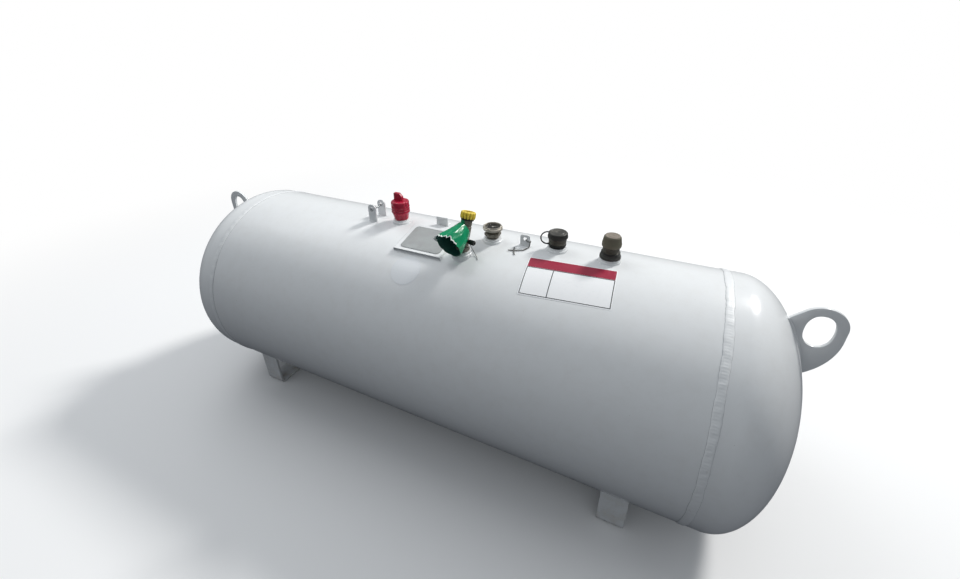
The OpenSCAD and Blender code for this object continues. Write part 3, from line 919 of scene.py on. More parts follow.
# Dark green for the sleeve's inner wall: painted shade inside the bell.
GREEN_INSIDE_SHADE = Plastic("green_inside_painted_shade", tone(10, 72, 62), tone(20, 104, 86), 0.5, 0.5, 0.1)
TORN = Plastic("torn_edge", tone(226, 236, 230), tone(245, 248, 246), 0.5, 0.5, 0.2)
BLACK = Plastic("black_plastic", tone(44, 44, 41), tone(66, 65, 60), 0.36, 0.4, 0.3)
BLACK_TOP = Plastic("worn_black_plastic", tone(58, 57, 53), tone(104, 101, 94), 0.4, 0.7, 0.6)
RUBBER = Plastic("black_rubber", tone(28, 28, 27), tone(46, 45, 43), 0.55, 0.4, 0.15)
BROWN = Plastic("brown_plastic", tone(110, 106, 90), tone(122, 117, 101), 0.5, 0.5, 0.3, shine=0.3)
TAN = Plastic("faded_tan", tone(128, 118, 106), tone(150, 142, 128), 0.55, 0.5, 0.3)
DIAL = Plastic("dial_face", tone(34, 33, 31), tone(50, 48, 44), 0.4, 0.4, 0.1, shine=0.3)
MARKS = Film("pale_marks", tone(210, 208, 200), tone(180, 178, 170), 0.5)
FILM = Film("white_film", tone(244, 245, 246), tone(232, 234, 236))
CLEAR_FILM = Film("pale_film", tone(228, 231, 234), tone(218, 221, 225), 0.22)
RED_FILM = Film("muted_red_film", tone(158, 34, 62), tone(176, 66, 86), 0.36)
LINE_FILM = Film("grey_line_film", tone(48, 54, 58), tone(66, 72, 76), 0.4)


def shown(name: str, data: bpy.types.ID, axes: list | None = None,
          at: Array | tuple = (0.0, 0.0, 0.0)) -> bpy.types.Object:
    """Makes an object and links it to the scene.

    Args:
        name: the object's name.
        data: its mesh, lamp or camera.
        axes: where its X, Y and Z point, or None for an object that isn't placed.
        at: its place in metres.

    Returns:
        The object.
    """
    made = bpy.data.objects.new(name, data)
    if axes is not None:
        place = np.eye(4)
        place[:3] = np.stack([*axes, np.asarray(at, float)], axis=1)
        made.matrix_world = Matrix(place.tolist())
    bpy.context.scene.collection.objects.link(made)
    return made


def make_piece(name: str, surface: Surface, finishes: Finish | list,
               replaces: tuple = (), sharp: float = 38.0) -> None:
    """Makes the object of one piece, riding on the tank's body.

    Args:
        name: its plain name.
        surface: its shape in millimetres.
        finishes: one finish, or one for each finish number.
        replaces: the CAD nodes that it stands for.
        sharp: edges that turn more than this many degrees stay sharp.
    """
    mesh = bpy.data.meshes.new(name)
    rows = [row for f in surface.faces for row in f.tolist()]
    mesh.from_pydata((surface.points * MM).tolist(), [], rows)
    mesh.polygons.foreach_set("material_index", np.concatenate(surface.marks))
    mesh.polygons.foreach_set("use_smooth", np.ones(len(rows), bool))
    mesh.set_sharp_from_angle(angle=math.radians(sharp))
    for finish in (finishes if isinstance(finishes, list) else [finishes]):
        mesh.materials.append(finish.material())
    mesh.validate()
    mesh.update()
    made = shown(name, mesh)
    if replaces:
        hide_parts(*replaces)
    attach(made, BODY)
    LOG.info("%s: %d points, %d faces", name, len(mesh.vertices), len(mesh.polygons))


@dataclass
class Vessel:
    """Shell, two heads, two girth welds and the long seam, all round one axis."""

    radius: float = 381.0
    wall: float = 5.0
    half: float = 882.5
    axis: float = 427.0
    flange: float = 45.0
    depth: float = 190.5
    bead_w: float = 26.0
    bead_h: float = 2.5
    seam_w: float = 14.0
    seam_h: float = 2.0
    seam_turn: float = 104.0
    columns: int = 288

    @property
    def top(self) -> float:
        """Height of the shell's top line."""
        return self.axis + self.radius

    def surface_z(self, y: Array | float) -> Array | float:
        """Height of the shell's upper surface at a distance across the tank."""
        return self.axis + np.sqrt(self.radius ** 2 - np.square(y))

    def under_z(self, y: Array | float) -> Array | float:
        """Height of the shell's lower surface at a distance across the tank."""
        return self.axis - np.sqrt(self.radius ** 2 - np.square(y))

    def head_x(self, z: Array | float) -> Array | float:
        """Reach of a head along the tank, at a height above the axis."""
        return self.half + self.flange + self.depth * np.sqrt(
            np.clip(1 - np.square(np.asarray(z) / self.radius), 0, 1))

    def round_axis(self, x: Array | float, r: Array | float, t: Array | float) -> Array:
        """Points at a place along the axis, a radius and a turn from the top to the back."""
        return np.stack(np.broadcast_arrays(x, r * np.sin(t), self.axis + r * np.cos(t)), -1)

    def shell(self) -> Surface:
        """Rolled plate: a tube whose radius drifts by a few tenths of a millimetre.

        The outer radius is R + 0.25 n(x, t), where n is a smooth noise that is periodic
        round the shell; the inner wall is plain.

        Returns:
            The surface.
        """
        t = turns(self.columns)[None]
        x = np.linspace(-self.half, self.half, 72)[:, None]
        fade = np.clip((self.half - np.abs(x)) / 60, 0, 1)
        drift = 0.25 * fade * wave_noise(x / 190, 2.2 * np.cos(t), 2.2 * np.sin(t), seed=4)
        outer = self.round_axis(x, self.radius - 0.25 + drift, t)
        xi = np.array([self.half, 0, -self.half])[:, None]
        inner = self.round_axis(xi, self.radius - self.wall, t)
        return grid(np.concatenate([outer, inner]), loop=True)

    def head(self, side: Side) -> Surface:
        """Pressed head: flange, then a quarter of a 2:1 ellipse, with an even wall.

        The outer profile is r = R cos a, x = flange + depth sin a, the inner one is the
        same with the wall taken off both half axes, and both end in a pole.

        Args:
            side: the tank's end.

        Returns:
            The surface.
        """
        a = np.linspace(math.pi / 2, 0, 72)
        r = np.r_[self.radius * np.cos(a), self.radius]
        x = np.r_[self.flange + self.depth * np.sin(a), 0]
        b = np.linspace(0, math.pi / 2, 28)
        inner = self.radius - self.wall
        r = np.r_[r, inner, inner * np.cos(b)]
        x = np.r_[x, 0, self.flange + (self.depth - self.wall) * np.sin(b)]
        r[0] = r[-1] = 0.4
        t = turns(self.columns)[None]
        points = self.round_axis(side.value * (self.half + x[:, None]), r[:, None], t)
        return grid(points)

    def girth_weld(self, side: Side) -> Surface:
        """Flat ring bead with crescent ripples, lumps and wandering edges.

        Across the bead, v runs from -1 to 1. Its height is h (1 - v^6) times 0.84 plus lumps
        of 0.16 n, less a twentieth of 1 - cos(p), where p is the turn times the ripple count
        plus 2.2 v^2. Each edge wanders by up to 1.6 mm on its own.

        Args:
            side: the tank's end.

        Returns:
            The surface.
        """
        ripples = 300
        t = turns(ripples * 6)[None]
        v = np.array([-1, -0.95, -0.88, -0.7, -0.4, 0, 0.4, 0.7, 0.88, 0.95, 1])[:, None]
        low, high = (self.edge_drift(t, seed) for seed in (8, 31))
        half = self.bead_w / 2 - 1.7 + np.where(v < 0, low, high)
        lumps = np.clip(wave_noise(v * 1.6, 46 * np.cos(t), 46 * np.sin(t), seed=3), -1, 1)
        crest = (1 - v ** 6) * (self.bead_h - 0.1) * (0.84 + 0.16 * lumps)
        r = self.radius + crest * (1 - 0.05 * (1 - np.cos(ripples * t + 2.2 * v ** 2)))
        x = side.value * self.half + v * half
        under = self.round_axis(side.value * self.half, self.radius - 1.2, t)
        made = grid(np.concatenate([self.round_axis(x, r, t), under]), loop=True)
        # The outermost row on each side of the bead takes finish 1, the darker toe paint: painted
        # shade along the toe, with dirt.
        marks = np.zeros((len(v) + 1, t.size), int)
        marks[[0, len(v) - 2]] = 1
        made.marks = [marks.ravel()]
        return made

    def edge_drift(self, t: Array, seed: int) -> Array:
        """How far a bead's edge wanders at each turn: two smooth noises, held to 1.6 mm.

        Args:
            t: the turns.
            seed: the seed of the noises.

        Returns:
            One length for each turn.
        """
        wide = wave_noise(14 * np.cos(t), 14 * np.sin(t), seed=seed)
        fine = wave_noise(60 * np.cos(t), 60 * np.sin(t), seed=seed + 1)
        return np.clip(wide + 0.6 * fine, -1.6, 1.6)

    def long_seam(self) -> Surface:
        """Straight bead along the back, below the middle, with the same ripples.

        Returns:
            The surface.
        """
        length, pitch = 2 * self.half - self.bead_w, 6
        x = np.linspace(-length / 2, length / 2, int(length / pitch) * 5)[:, None]
        v = np.linspace(-1, 1, 9)[None]
        turn = math.radians(self.seam_turn) + v * self.seam_w / 2 / self.radius
        wave = 1 - np.cos(2 * math.pi * x / pitch + 2.2 * v ** 2)
        r = self.radius - 0.3 + (self.seam_h + 0.2) * (1 - v ** 2) * (1 - 0.09 * wave)
        base = self.round_axis(x, self.radius - 1.4, math.radians(self.seam_turn))
        points = np.concatenate([self.round_axis(x, r, turn), base], axis=1)
        return grid(points)

    def build(self) -> None:
        """Makes every piece of the vessel."""
        make_piece("tank_shell", self.shell(), PAINT, ("shell",), 60)
        make_piece("long_seam_bead", self.long_seam(), WELD, ("long_seam",), 70)
        for side in Side:
            word = side.name.lower()
            make_piece(f"{word}_tank_head", self.head(side), PAINT,
                       (f"{word}_head",), 60)
            make_piece(f"{word}_girth_bead", self.girth_weld(side), [WELD, WELD_TOE_SHADE_AND_DIRT],
                       (f"{word}_girth_weld",), 70)


@dataclass
class LiftingLug:
    """Upright plate with an oval eye, welded by its curved edge to a head."""

    vessel: Vessel
    side: Side
    thickness: float = 10.0
    hole_w: float = 66.0
    hole_h: float = 96.0
    fullness: float = 2.25
    rim: float = 24.5
    drop: float = 83.0
    reach: float = 60.0
    flank_r: float = 165.0
    weld: float = 4.2

    @property
    def eye(self) -> tuple:
        """The hole's middle: place along the tank and height above the axis."""
        z = self.vessel.radius - self.drop
        return float(self.vessel.head_x(z)) + self.reach, z

    def outline(self) -> Array:
        """The plate's edge.

        It has a back at 45 degrees, an arc above the eye, a straight side, a large arc down
        to the head, and the head's own curve back to the start.

        Returns:
            The edge's points.
        """
        x, z = self.eye
        straight = (self.hole_h - self.hole_w) / 2
        r = self.hole_w / 2 + self.rim
        arc = np.radians(np.linspace(135, 0, 60))
        eye = np.stack([x + r * np.cos(arc), z + straight + r * np.sin(arc)], -1)
        run = np.linspace(120, 0, 90)[:, None]
        back = eye[0] - run * math.sqrt(0.5)
        back = back[back[:, 0] >= self.vessel.head_x(back[:, 1])]
        arc = np.radians(np.linspace(0, -75, 160))
        flank = np.stack([x + r - self.flank_r + self.flank_r * np.cos(arc),
                          z - straight + self.flank_r * np.sin(arc)], -1)
        flank = flank[flank[:, 0] >= self.vessel.head_x(flank[:, 1])]
        up = np.linspace(flank[-1, 1], back[0, 1], 60)
        seat = np.stack([self.vessel.head_x(up), up], -1)
        return np.vstack([back, eye, flank, seat])

    def seat(self) -> Array:
        """The line where the plate's middle meets the head.

        Returns:
            The line's points.
        """
        line = self.outline()
        z = np.linspace(line[:, 1][:5].min() - 1, line[:, 1].min() + 1, 60)
        return np.stack([self.vessel.head_x(z), z], -1)

    def in_place(self, surface: Surface) -> Surface:
        """Carries a surface from the plate's plane to the tank, on the lug's side.

        Args:
            surface: the surface, which is changed.

        Returns:
            The surface.
        """
        p = surface.points
        surface.points = np.stack([self.side.value * p[:, 0], -p[:, 2],
                                   self.vessel.axis + p[:, 1]], -1)
        return surface.outward()

    def build(self) -> None:
        """Makes the plate and the weld that runs round its edge on the head."""
        word = self.side.name.lower()
        eye = oval(self.eye, self.hole_w, self.hole_h, 240, self.fullness)
        plate = self.in_place(holed_plate(self.outline(), eye, self.thickness, 1.2, 360))
        make_piece(f"{word}_lug_plate", plate, PAINT,
                   (f"{word}_lifting_lug",), 50)
        seat = self.seat()
        h = self.thickness / 2 + 0.8
        loop = np.vstack([np.c_[seat, np.full(len(seat), h)],
                          np.c_[seat[::-1], np.full(len(seat), -h)]])
        loop = rounded(resampled(loop, 90, True).tolist(), 0.5, 2, closed=True)
        bead = weld_bead(loop, self.weld, 4.5, (0.93, 0.37, 0.0))
        make_piece(f"{word}_lug_weld", self.in_place(bead), WELD, (), 70)


@dataclass
class StrapLeg:
    """Flat bar bent to a U, its bottom on the ground and its sides cut to the shell."""

    vessel: Vessel
    name: str
    x: float
    width: float = 86.0
    thickness: float = 9.0
    span: float = 540.0
    bend: float = 20.0
    weld: float = 4.0

    def bar(self) -> Surface:
        """The bent bar: a U path with two round bends, its end rows cut to the shell.

        Returns:
            The surface.
        """
        half, low = (self.span - self.thickness) / 2, self.thickness / 2
        corners = [(self.x, -half, 150), (self.x, -half, low), (self.x, half, low),
                   (self.x, half, 150)]
        path = rounded(corners, self.bend - self.thickness / 2, 14)
        made = strap(path, (1, 0, 0), self.width, self.thickness, 1.3)
        end = made.points[:, 2] > 145
        made.points[end, 2] = self.vessel.under_z(made.points[end, 1]) + 0.6
        return made

    def welds(self) -> list:
        """A closed bead round each end of the bar, on the shell's surface.

        Returns:
            Two closed surfaces.
        """
        beads = []
        for side in (-1, 1):
            y0, y1 = self.span / 2 - self.thickness - 0.5, self.span / 2 + 0.5
            w = self.width / 2 + 0.5
            loop = rounded(box(-w, w, y0, y1), 2.5, 5, closed=True)
            loop = resampled(loop, 160, True)
            y = side * loop[:, 1]
            path = np.stack([self.x + loop[:, 0], y, self.vessel.under_z(y) - 0.4], -1)
            beads.append(weld_bead(path, self.weld, 4.5))
        return beads

    def build(self) -> None:
        """Makes the bar and its welds."""
        make_piece(f"{self.name}_strap", self.bar(), PAINT, (self.name,), 50)
        first, second = self.welds()
        make_piece(f"{self.name}_welds", first.joined(second), WELD, (), 70)


@dataclass
class HoodBrackets:
    """Hinge ears with their pin, the latch tab with its wire, and the hood stop."""

    vessel: Vessel
    ear_x: float = -297.0
    ear_w: float = 35.0
    ear_h: float = 64.0
    ear_t: float = 5.0
    ear_front: float = -37.0
    ear_rear: float = 18.0
    ear_hole: float = 12.0
    pin_d: float = 7.0
    pin_tail: float = 12.0
    latch_x: float = 291.0
    latch_w: float = 33.0
    latch_h: float = 38.0
    latch_hole: float = 12.0
    latch_hole_z: float = 24.0
    wire_d: float = 3.2
    stop_x: float = -38.0
    stop_w: float = 46.0
    stop_h: float = 31.0
    stop_t: float = 4.0
    stop_y: float = 28.0
    stop_foot: float = 26.0

    def foot_weld(self, x: float, y: float, w: float, t: float, r: float = 2.6) -> Surface:
        """A closed bead round the foot of an upright plate, on the shell's surface.

        Args:
            x: the foot's middle along the tank.
            y: its middle across the tank.
            w: its length along the tank.
            t: its length across the tank.
            r: the bead's radius.

        Returns:
            The closed surface.
        """
        loop = rounded(box(-w / 2, w / 2, -t / 2, t / 2), 1.2, 4, closed=True)
        loop = resampled(loop, 110, True) + (x, y)
        return weld_bead(np.c_[loop, self.vessel.surface_z(loop[:, 1])], r, 3.4)

    def upright(self, outline: Array, hole: Array, y: float, t: float) -> Surface:
        """A holed plate stood up across Y, its lower edge let down to the shell.

        Args:
            outline: the plate's outline, as places along and heights.
            hole: its hole, in the same way.
            y: its middle across the tank.
            t: its thickness.

        Returns:
            The closed surface.
        """
        made = holed_plate(outline, hole, t, 0.9, 200)
        p = made.points
        points = np.stack([p[:, 0], y - p[:, 2], p[:, 1]], -1)
        foot = points[:, 2] < self.vessel.top + 1.5
        points[foot, 2] = self.vessel.surface_z(points[foot, 1]) - 0.6
        made.points = points
        return made.outward()

    def ear(self, y: float) -> Surface:
        """An ear: straight sides and a half round top about its hole.

        Args:
            y: its middle across the tank.

        Returns:
            The surface.
        """
        z = self.vessel.top + self.ear_h - self.ear_w / 2
        a = np.linspace(0, math.pi, 80)
        w = self.ear_w / 2
        top = np.stack([self.ear_x + w * np.cos(a), z + w * np.sin(a)], -1)
        foot = self.vessel.top - 1
        sides = np.array([[self.ear_x - w, foot], [self.ear_x + w, foot]])
        line = resampled(np.vstack([top, sides]), 500, True)
        hole = oval((self.ear_x, z), self.ear_hole, self.ear_hole, 72)
        return self.upright(line, hole, y, self.ear_t)

    def pin(self) -> Surface:
        """The hinge pin: a domed head before the front ear, a shank, a tapered tail.

        Returns:
            The surface.
        """
        z = self.vessel.top + self.ear_h - self.ear_w / 2 - (self.ear_hole - self.pin_d) / 2
        start = self.ear_front - self.ear_t / 2
        end = self.ear_rear + self.ear_t / 2 + self.pin_tail - start
        r = self.pin_d / 2
        line = rounded([(0, -3), (7.4, -3), (7.4, 0), (r, 0), (r, end - 3), (r - 1.2, end),
                        (0, end)], [0, 1.6, 0.4, 0.2, 1, 0.5, 0], 5)
        return turned(line, 40).placed((self.ear_x, start, z), (0, 1, 0), (1, 0, 0))

    def latch(self) -> Surface:
        """The latch tab: a plate with two round top corners and one hole.

        Returns:
            The surface.
        """
        top, w = self.vessel.top, self.latch_w / 2
        line = rounded(box(-w, w, -1, self.latch_h), [0.01, 0.01, 8.5, 8.5], 14, closed=True)
        line = resampled(line, 500, True) + (self.latch_x, top)
        hole = oval((self.latch_x, top + self.latch_hole_z), self.latch_hole,
                    self.latch_hole, 72)
        return self.upright(line, hole, 0.0, self.ear_t)

    def on_shell(self, x: float, y: float) -> tuple:
        """A place for the latch wire's middle, just above the shell.

        Args:
            x: its place along the tank.
            y: the place across of the shell below it.

        Returns:
            The place.
        """
        r = self.vessel.radius
        grow = (r + self.wire_d / 2 + 0.5) / r
        return x, y * grow, self.vessel.axis + grow * math.sqrt(r * r - y * y)

    def wire(self) -> Surface:
        """The bent wire at the tab's foot, on rounded paths.

        One long run lies on the shell and turns up to the tab's edge, a short one crosses
        it, and a loop goes from the long run's end through the tab's hole.

        Returns:
            The surface.
        """
        on, r, t = self.on_shell, self.wire_d / 2, self.ear_t
        edge = self.latch_x + self.latch_w / 2 + r + 0.2
        z = self.vessel.top + self.latch_hole_z
        first = rounded([on(edge - 58, -51), on(edge - 34, -45), on(edge - 12, -36),
                         on(edge, -12), (edge, 0, z - 7)], [0, 20, 8, 8, 0], 8)
        second = rounded([on(edge - 44, -30), on(edge - 40, -48), on(edge - 30, -67)],
                         [0, 16, 0], 8)
        ring = rounded([(edge - 15, t, z - 3), (edge - 15, -t, z - 3),
                        (edge - 8, -t - 1, z - 6), (edge, -4, z - 8), (edge, 4, z - 8),
                        (edge - 8, t + 1, z - 6)], 2.4, 5, closed=True)
        return tube(first, r, 12).joined(tube(second, r, 12),
                                         tube(ring, r * 0.8, 10, True, (0.2, 0.1, 1.0)))

    def stop(self) -> Surface:
        """The hood stop: a bar bent at a right angle, its foot let down to the shell.

        Returns:
            The surface.
        """
        t, top = self.stop_t / 2, self.vessel.top
        y = self.stop_y + t
        base = float(self.vessel.surface_z(self.stop_y + self.stop_foot)) + t + 1.2
        path = rounded([(self.stop_x, y, top + self.stop_h), (self.stop_x, y, base + 1),
                        (self.stop_x, self.stop_y + self.stop_foot, base)], [0, 4, 0], 8)
        made = strap(path, (1, 0, 0), self.stop_w, self.stop_t, 0.8)
        low = made.points[:, 2] < base
        made.points[low, 2] = np.minimum(made.points[low, 2],
                                         self.vessel.surface_z(made.points[low, 1]) - 0.3)
        return made

    def build(self) -> None:
        """Makes the brackets and their welds."""
        for word, y in (("front", self.ear_front), ("rear", self.ear_rear)):
            weld = self.foot_weld(self.ear_x, y, self.ear_w, self.ear_t)
            make_piece(f"{word}_ear_plate", self.ear(y).joined(weld.marked(1)),
                       [PAINT, WELD], (f"{word}_hinge_ear",), 50)
        make_piece("hinge_pin_rod", self.pin(), BRIGHT_STEEL, ("hinge_pin",))
        weld = self.foot_weld(self.latch_x, 0, self.latch_w, self.ear_t)
        make_piece("latch_tab_plate", self.latch().joined(weld.marked(1)), [PAINT, WELD],
                   ("latch_tab",), 50)
        make_piece("latch_seal_wire", self.wire(), DARK_WIRE,
                   ("latch_wire",))
        y = self.stop_y + self.stop_foot / 2
        weld = self.foot_weld(self.stop_x, y, self.stop_w, self.stop_foot, 2.2)
        make_piece("hood_stop_clip", self.stop().joined(weld.marked(1)), [PAINT, WELD],
                   ("hood_stop",), 50)


@dataclass
class Nameplate:
    """Bent bracket on the shell with a bare metal plate riveted on it."""

    vessel: Vessel
    x: float = -34.0
    turn: float = 13.1
    length: float = 184.0
    width: float = 141.0
    sheet: float = 3.0
    rise: float = 2.0
    margin: float = 12.0
    left_margin: float = 19.0
    plate_t: float = 1.5
    corner: float = 14.0

    def in_place(self, surface: Surface) -> Surface:
        """Carries a surface from the plate's frame, whose Z points away from the axis.

        Args:
            surface: the surface, which is changed.

        Returns:
            The surface.
        """
        y, z = swung(surface.points[:, 1:], math.radians(self.turn)).T
        surface.points = np.stack([self.x + surface.points[:, 0], y, self.vessel.axis + z], -1)
        return surface

    def bracket(self) -> Surface:
        """The bracket: a sheet bent down at both ends, its ends let down to the shell.

        Returns:
            The surface.
        """
        r0 = self.vessel.radius + self.rise + self.sheet / 2
        w = (self.length - self.sheet) / 2
        low = self.vessel.radius - 8
        path = rounded([(-w, 0, low), (-w, 0, r0), (w, 0, r0), (w, 0, low)], 3.2, 8)
        rows = np.linspace(-1, 1, 9) * (self.width / 2 - 0.8)
        t = self.sheet / 2
        normal = unit(np.cross(unit(np.gradient(path, axis=0)), (0.0, 1.0, 0.0)))
        ring = [(y, t) for y in rows] + [(rows[-1] + 0.8, 0)] \
            + [(y, -t) for y in rows[::-1]] + [(rows[0] - 0.8, 0)]
        section = np.array(ring)
        points = path[:, None] + section[None, :, :1] * np.array([0.0, 1.0, 0.0]) \
            + section[None, :, 1:] * normal[:, None]
        under = points[..., 2] < r0 - 3.6
        seat = np.sqrt(self.vessel.radius ** 2 - points[..., 1] ** 2) - 0.4
        points[..., 2] = np.where(under, seat, points[..., 2])
        return self.in_place(grid(points))

    def edges(self, inset: float = 0.0) -> tuple:
        """The plate's left and right edge and its half width, all drawn in by an inset."""
        half = self.length / 2
        return (inset + self.left_margin - half, half - self.margin - inset,
                self.width / 2 - self.margin - inset)

    def plate(self) -> Surface:
        """The bare plate, with round corners, a raised rim line and four rivets.

        Returns:
            The surface.
        """
        left, right, w = self.edges()
        line = rounded(box(left, right, -w, w), self.corner, 12, closed=True)
        base = self.vessel.radius + self.rise + self.sheet
        made = slab(line, self.plate_t, 0.35).moved((0, 0, base))
        dome = rounded([(0, 0.9), (1.2, 0.9), (2.1, 0.1), (2.1, -0.4), (0, -0.4)],
                       [0, 0.6, 0.3, 0, 0], 4)
        for x in (left + 7, right - 7):
            for y in (7 - w, w - 7):
                made = made.joined(turned(dome[::-1], 20).moved((x, y, base + self.plate_t)))
        return self.in_place(made)

    def rim(self) -> Surface:
        """A low raised line just inside the plate's edge.

        Returns:
            The surface.
        """
        left, right, w = self.edges(3.0)
        line = rounded(box(left, right, -w, w), self.corner - 3, 12, closed=True)
        base = self.vessel.radius + self.rise + self.sheet + self.plate_t
        path = np.c_[resampled(line, 220, True), np.full(220, base)]
        return self.in_place(tube(path, 0.45, 8, True))

    def build(self) -> None:
        """Makes the bracket and the plate."""
        make_piece("nameplate_holder", self.bracket(), PAINT,
                   ("nameplate_bracket",), 45)
        make_piece("bare_nameplate", self.plate().joined(self.rim()), SHEET,
                   ("nameplate",), 40)


@dataclass
class Films:
    """Two bare films stuck on the shell: one with a plain band, one round.

    The banded film's own X runs along its long side, which climbs to the top line by its
    slant towards the tank's right end, and its own Y runs up to the top line.
    """

    vessel: Vessel
    middle: tuple = (467.3, -125.7)
    size: tuple = (265.5, 149.0)
    slant: float = 3.9
    band: float = 40.0
    margin: float = 3.2
    line: float = 2.4
    divider: float = -48.5
    round_middle: tuple = (-43.0, -220.0)
    round_d: float = 105.0
    thick: float = 0.1

    def film(self, line: Array, lift: float) -> Surface:
        """A thin closed film, bent round the shell.

        Args:
            line: its outline, as places along and arc lengths from the top line.
            lift: the height of its lower face above the shell.

        Returns:
            The closed surface.
        """
        middle = (line.max(0) + line.min(0)) / 2
        share = np.array([0.004, 0.25, 0.5, 0.75, 1.0, 1.0, 0.75, 0.5, 0.25, 0.004])
        rise = lift + np.array([self.thick] * 5 + [0.0] * 5)[:, None]
        flat = middle + (line - middle)[None] * share[:, None, None]
        return grid(self.vessel.round_axis(flat[..., 0], self.vessel.radius + rise,
                                           flat[..., 1] / self.vessel.radius))

    def rectangle(self, x0: float, x1: float, y0: float, y1: float, lift: float,
                  corner: float = 0.3) -> Surface:
        """A film between two places along and two across the banded film.

        Args:
            x0: the left edge in the banded film's own frame.
            x1: the right edge.
            y0: the lower edge.
            y1: the upper edge.
            lift: the height of its lower face above the shell.
            corner: the radius of its corners.

        Returns:
            The closed surface.
        """
        line = resampled(rounded(box(x0, x1, y1, y0), corner, 6, closed=True), 240, True)
        return self.film(swung(line, math.radians(self.slant)) + np.array(self.middle), lift)

    def build(self) -> None:
        """Makes the banded film, with its frame and divider lines, and the round one."""
        w, h = self.size[0] / 2, self.size[1] / 2
        x, y, low, n = w - self.margin, h - self.margin, h - self.margin - self.band, self.line
        whole = self.rectangle(-w, w, -h, h, 0.05, 2.0)
        band = self.rectangle(-x, x, low, y, 0.2, 0.8).marked(1)
        lines = [self.rectangle(*bounds, 0.2).marked(2) for bounds in (
            (-x, x, low - 0.8 - n, low - 0.8), (-x, x, -y, n - y),
            (-x, n - x, -y, low - 0.8), (x - n, x, -y, low - 0.8),
            (self.divider, self.divider + n, -y, low - 0.8))]
        make_piece("banded_film", whole.joined(band, *lines), [FILM, RED_FILM, LINE_FILM],
                   (), 60)
        line = oval(self.round_middle, self.round_d, self.round_d, 160)
        make_piece("round_film", self.film(line, 0.05), CLEAR_FILM, (), 60)


@dataclass
class Port:
    """A coupling on the shell: its place, and the collar that stands there."""

    vessel: Vessel
    name: str
    x: float
    y: float
    collar_d: float = 58.0
    collar_h: float = 12.0
    bore_d: float = 38.0
    weld_w: float = 5.0

    @property
    def ground(self) -> float:
        """Height of the shell at the port."""
        return float(self.vessel.surface_z(self.y))

    @property
    def seat(self) -> tuple:
        """Middle of the collar's top face."""
        return self.x, self.y, self.ground + self.collar_h

    def stand(self, surface: Surface) -> Surface:
        """Stands a surface on the collar."""
        return surface.moved(self.seat)

    def collar(self) -> Surface:
        """The collar: a bored ring with small chamfers, a rippled weld at its foot.

        The weld's radius gets 0.45 cos(38 t) added. Points below the shell's surface are
        raised to just under it, so that the foot follows the shell.

        Returns:
            The surface.
        """
        r, b, h = self.collar_d / 2, self.bore_d / 2 + 0.2, self.collar_h
        low = -18.0 if self.y < -50 else -4.0
        line = rounded([(b, low), (b, h), (r, h), (r, h * 0.55),
                        (r + self.weld_w * 0.72, h * 0.36), (r + self.weld_w, 0),
                        (r + self.weld_w + 2, low)],
                       [0, 1.2, 1.4, 1.2, 2.5, 2.0, 0], 6)

        def ripple(radius: Array, z: Array, t: Array) -> Array:
            """Ripples of the weld, only below the straight collar."""
            return np.where((z < h * 0.5) & (radius > r + 0.6), 0.45 * np.cos(38 * t), 0)
        made = turned(line, 190, closed=True, change=ripple).moved((self.x, self.y, self.ground))
        p = made.points
        p[:, 2] = np.maximum(p[:, 2], self.vessel.surface_z(p[:, 1]) - 1.0)
        return made

    def build(self) -> None:
        """Makes the collar."""
        make_piece(f"{self.name}_collar", self.collar(), PAINT,
                   (f"{self.name}_coupling",), 50)


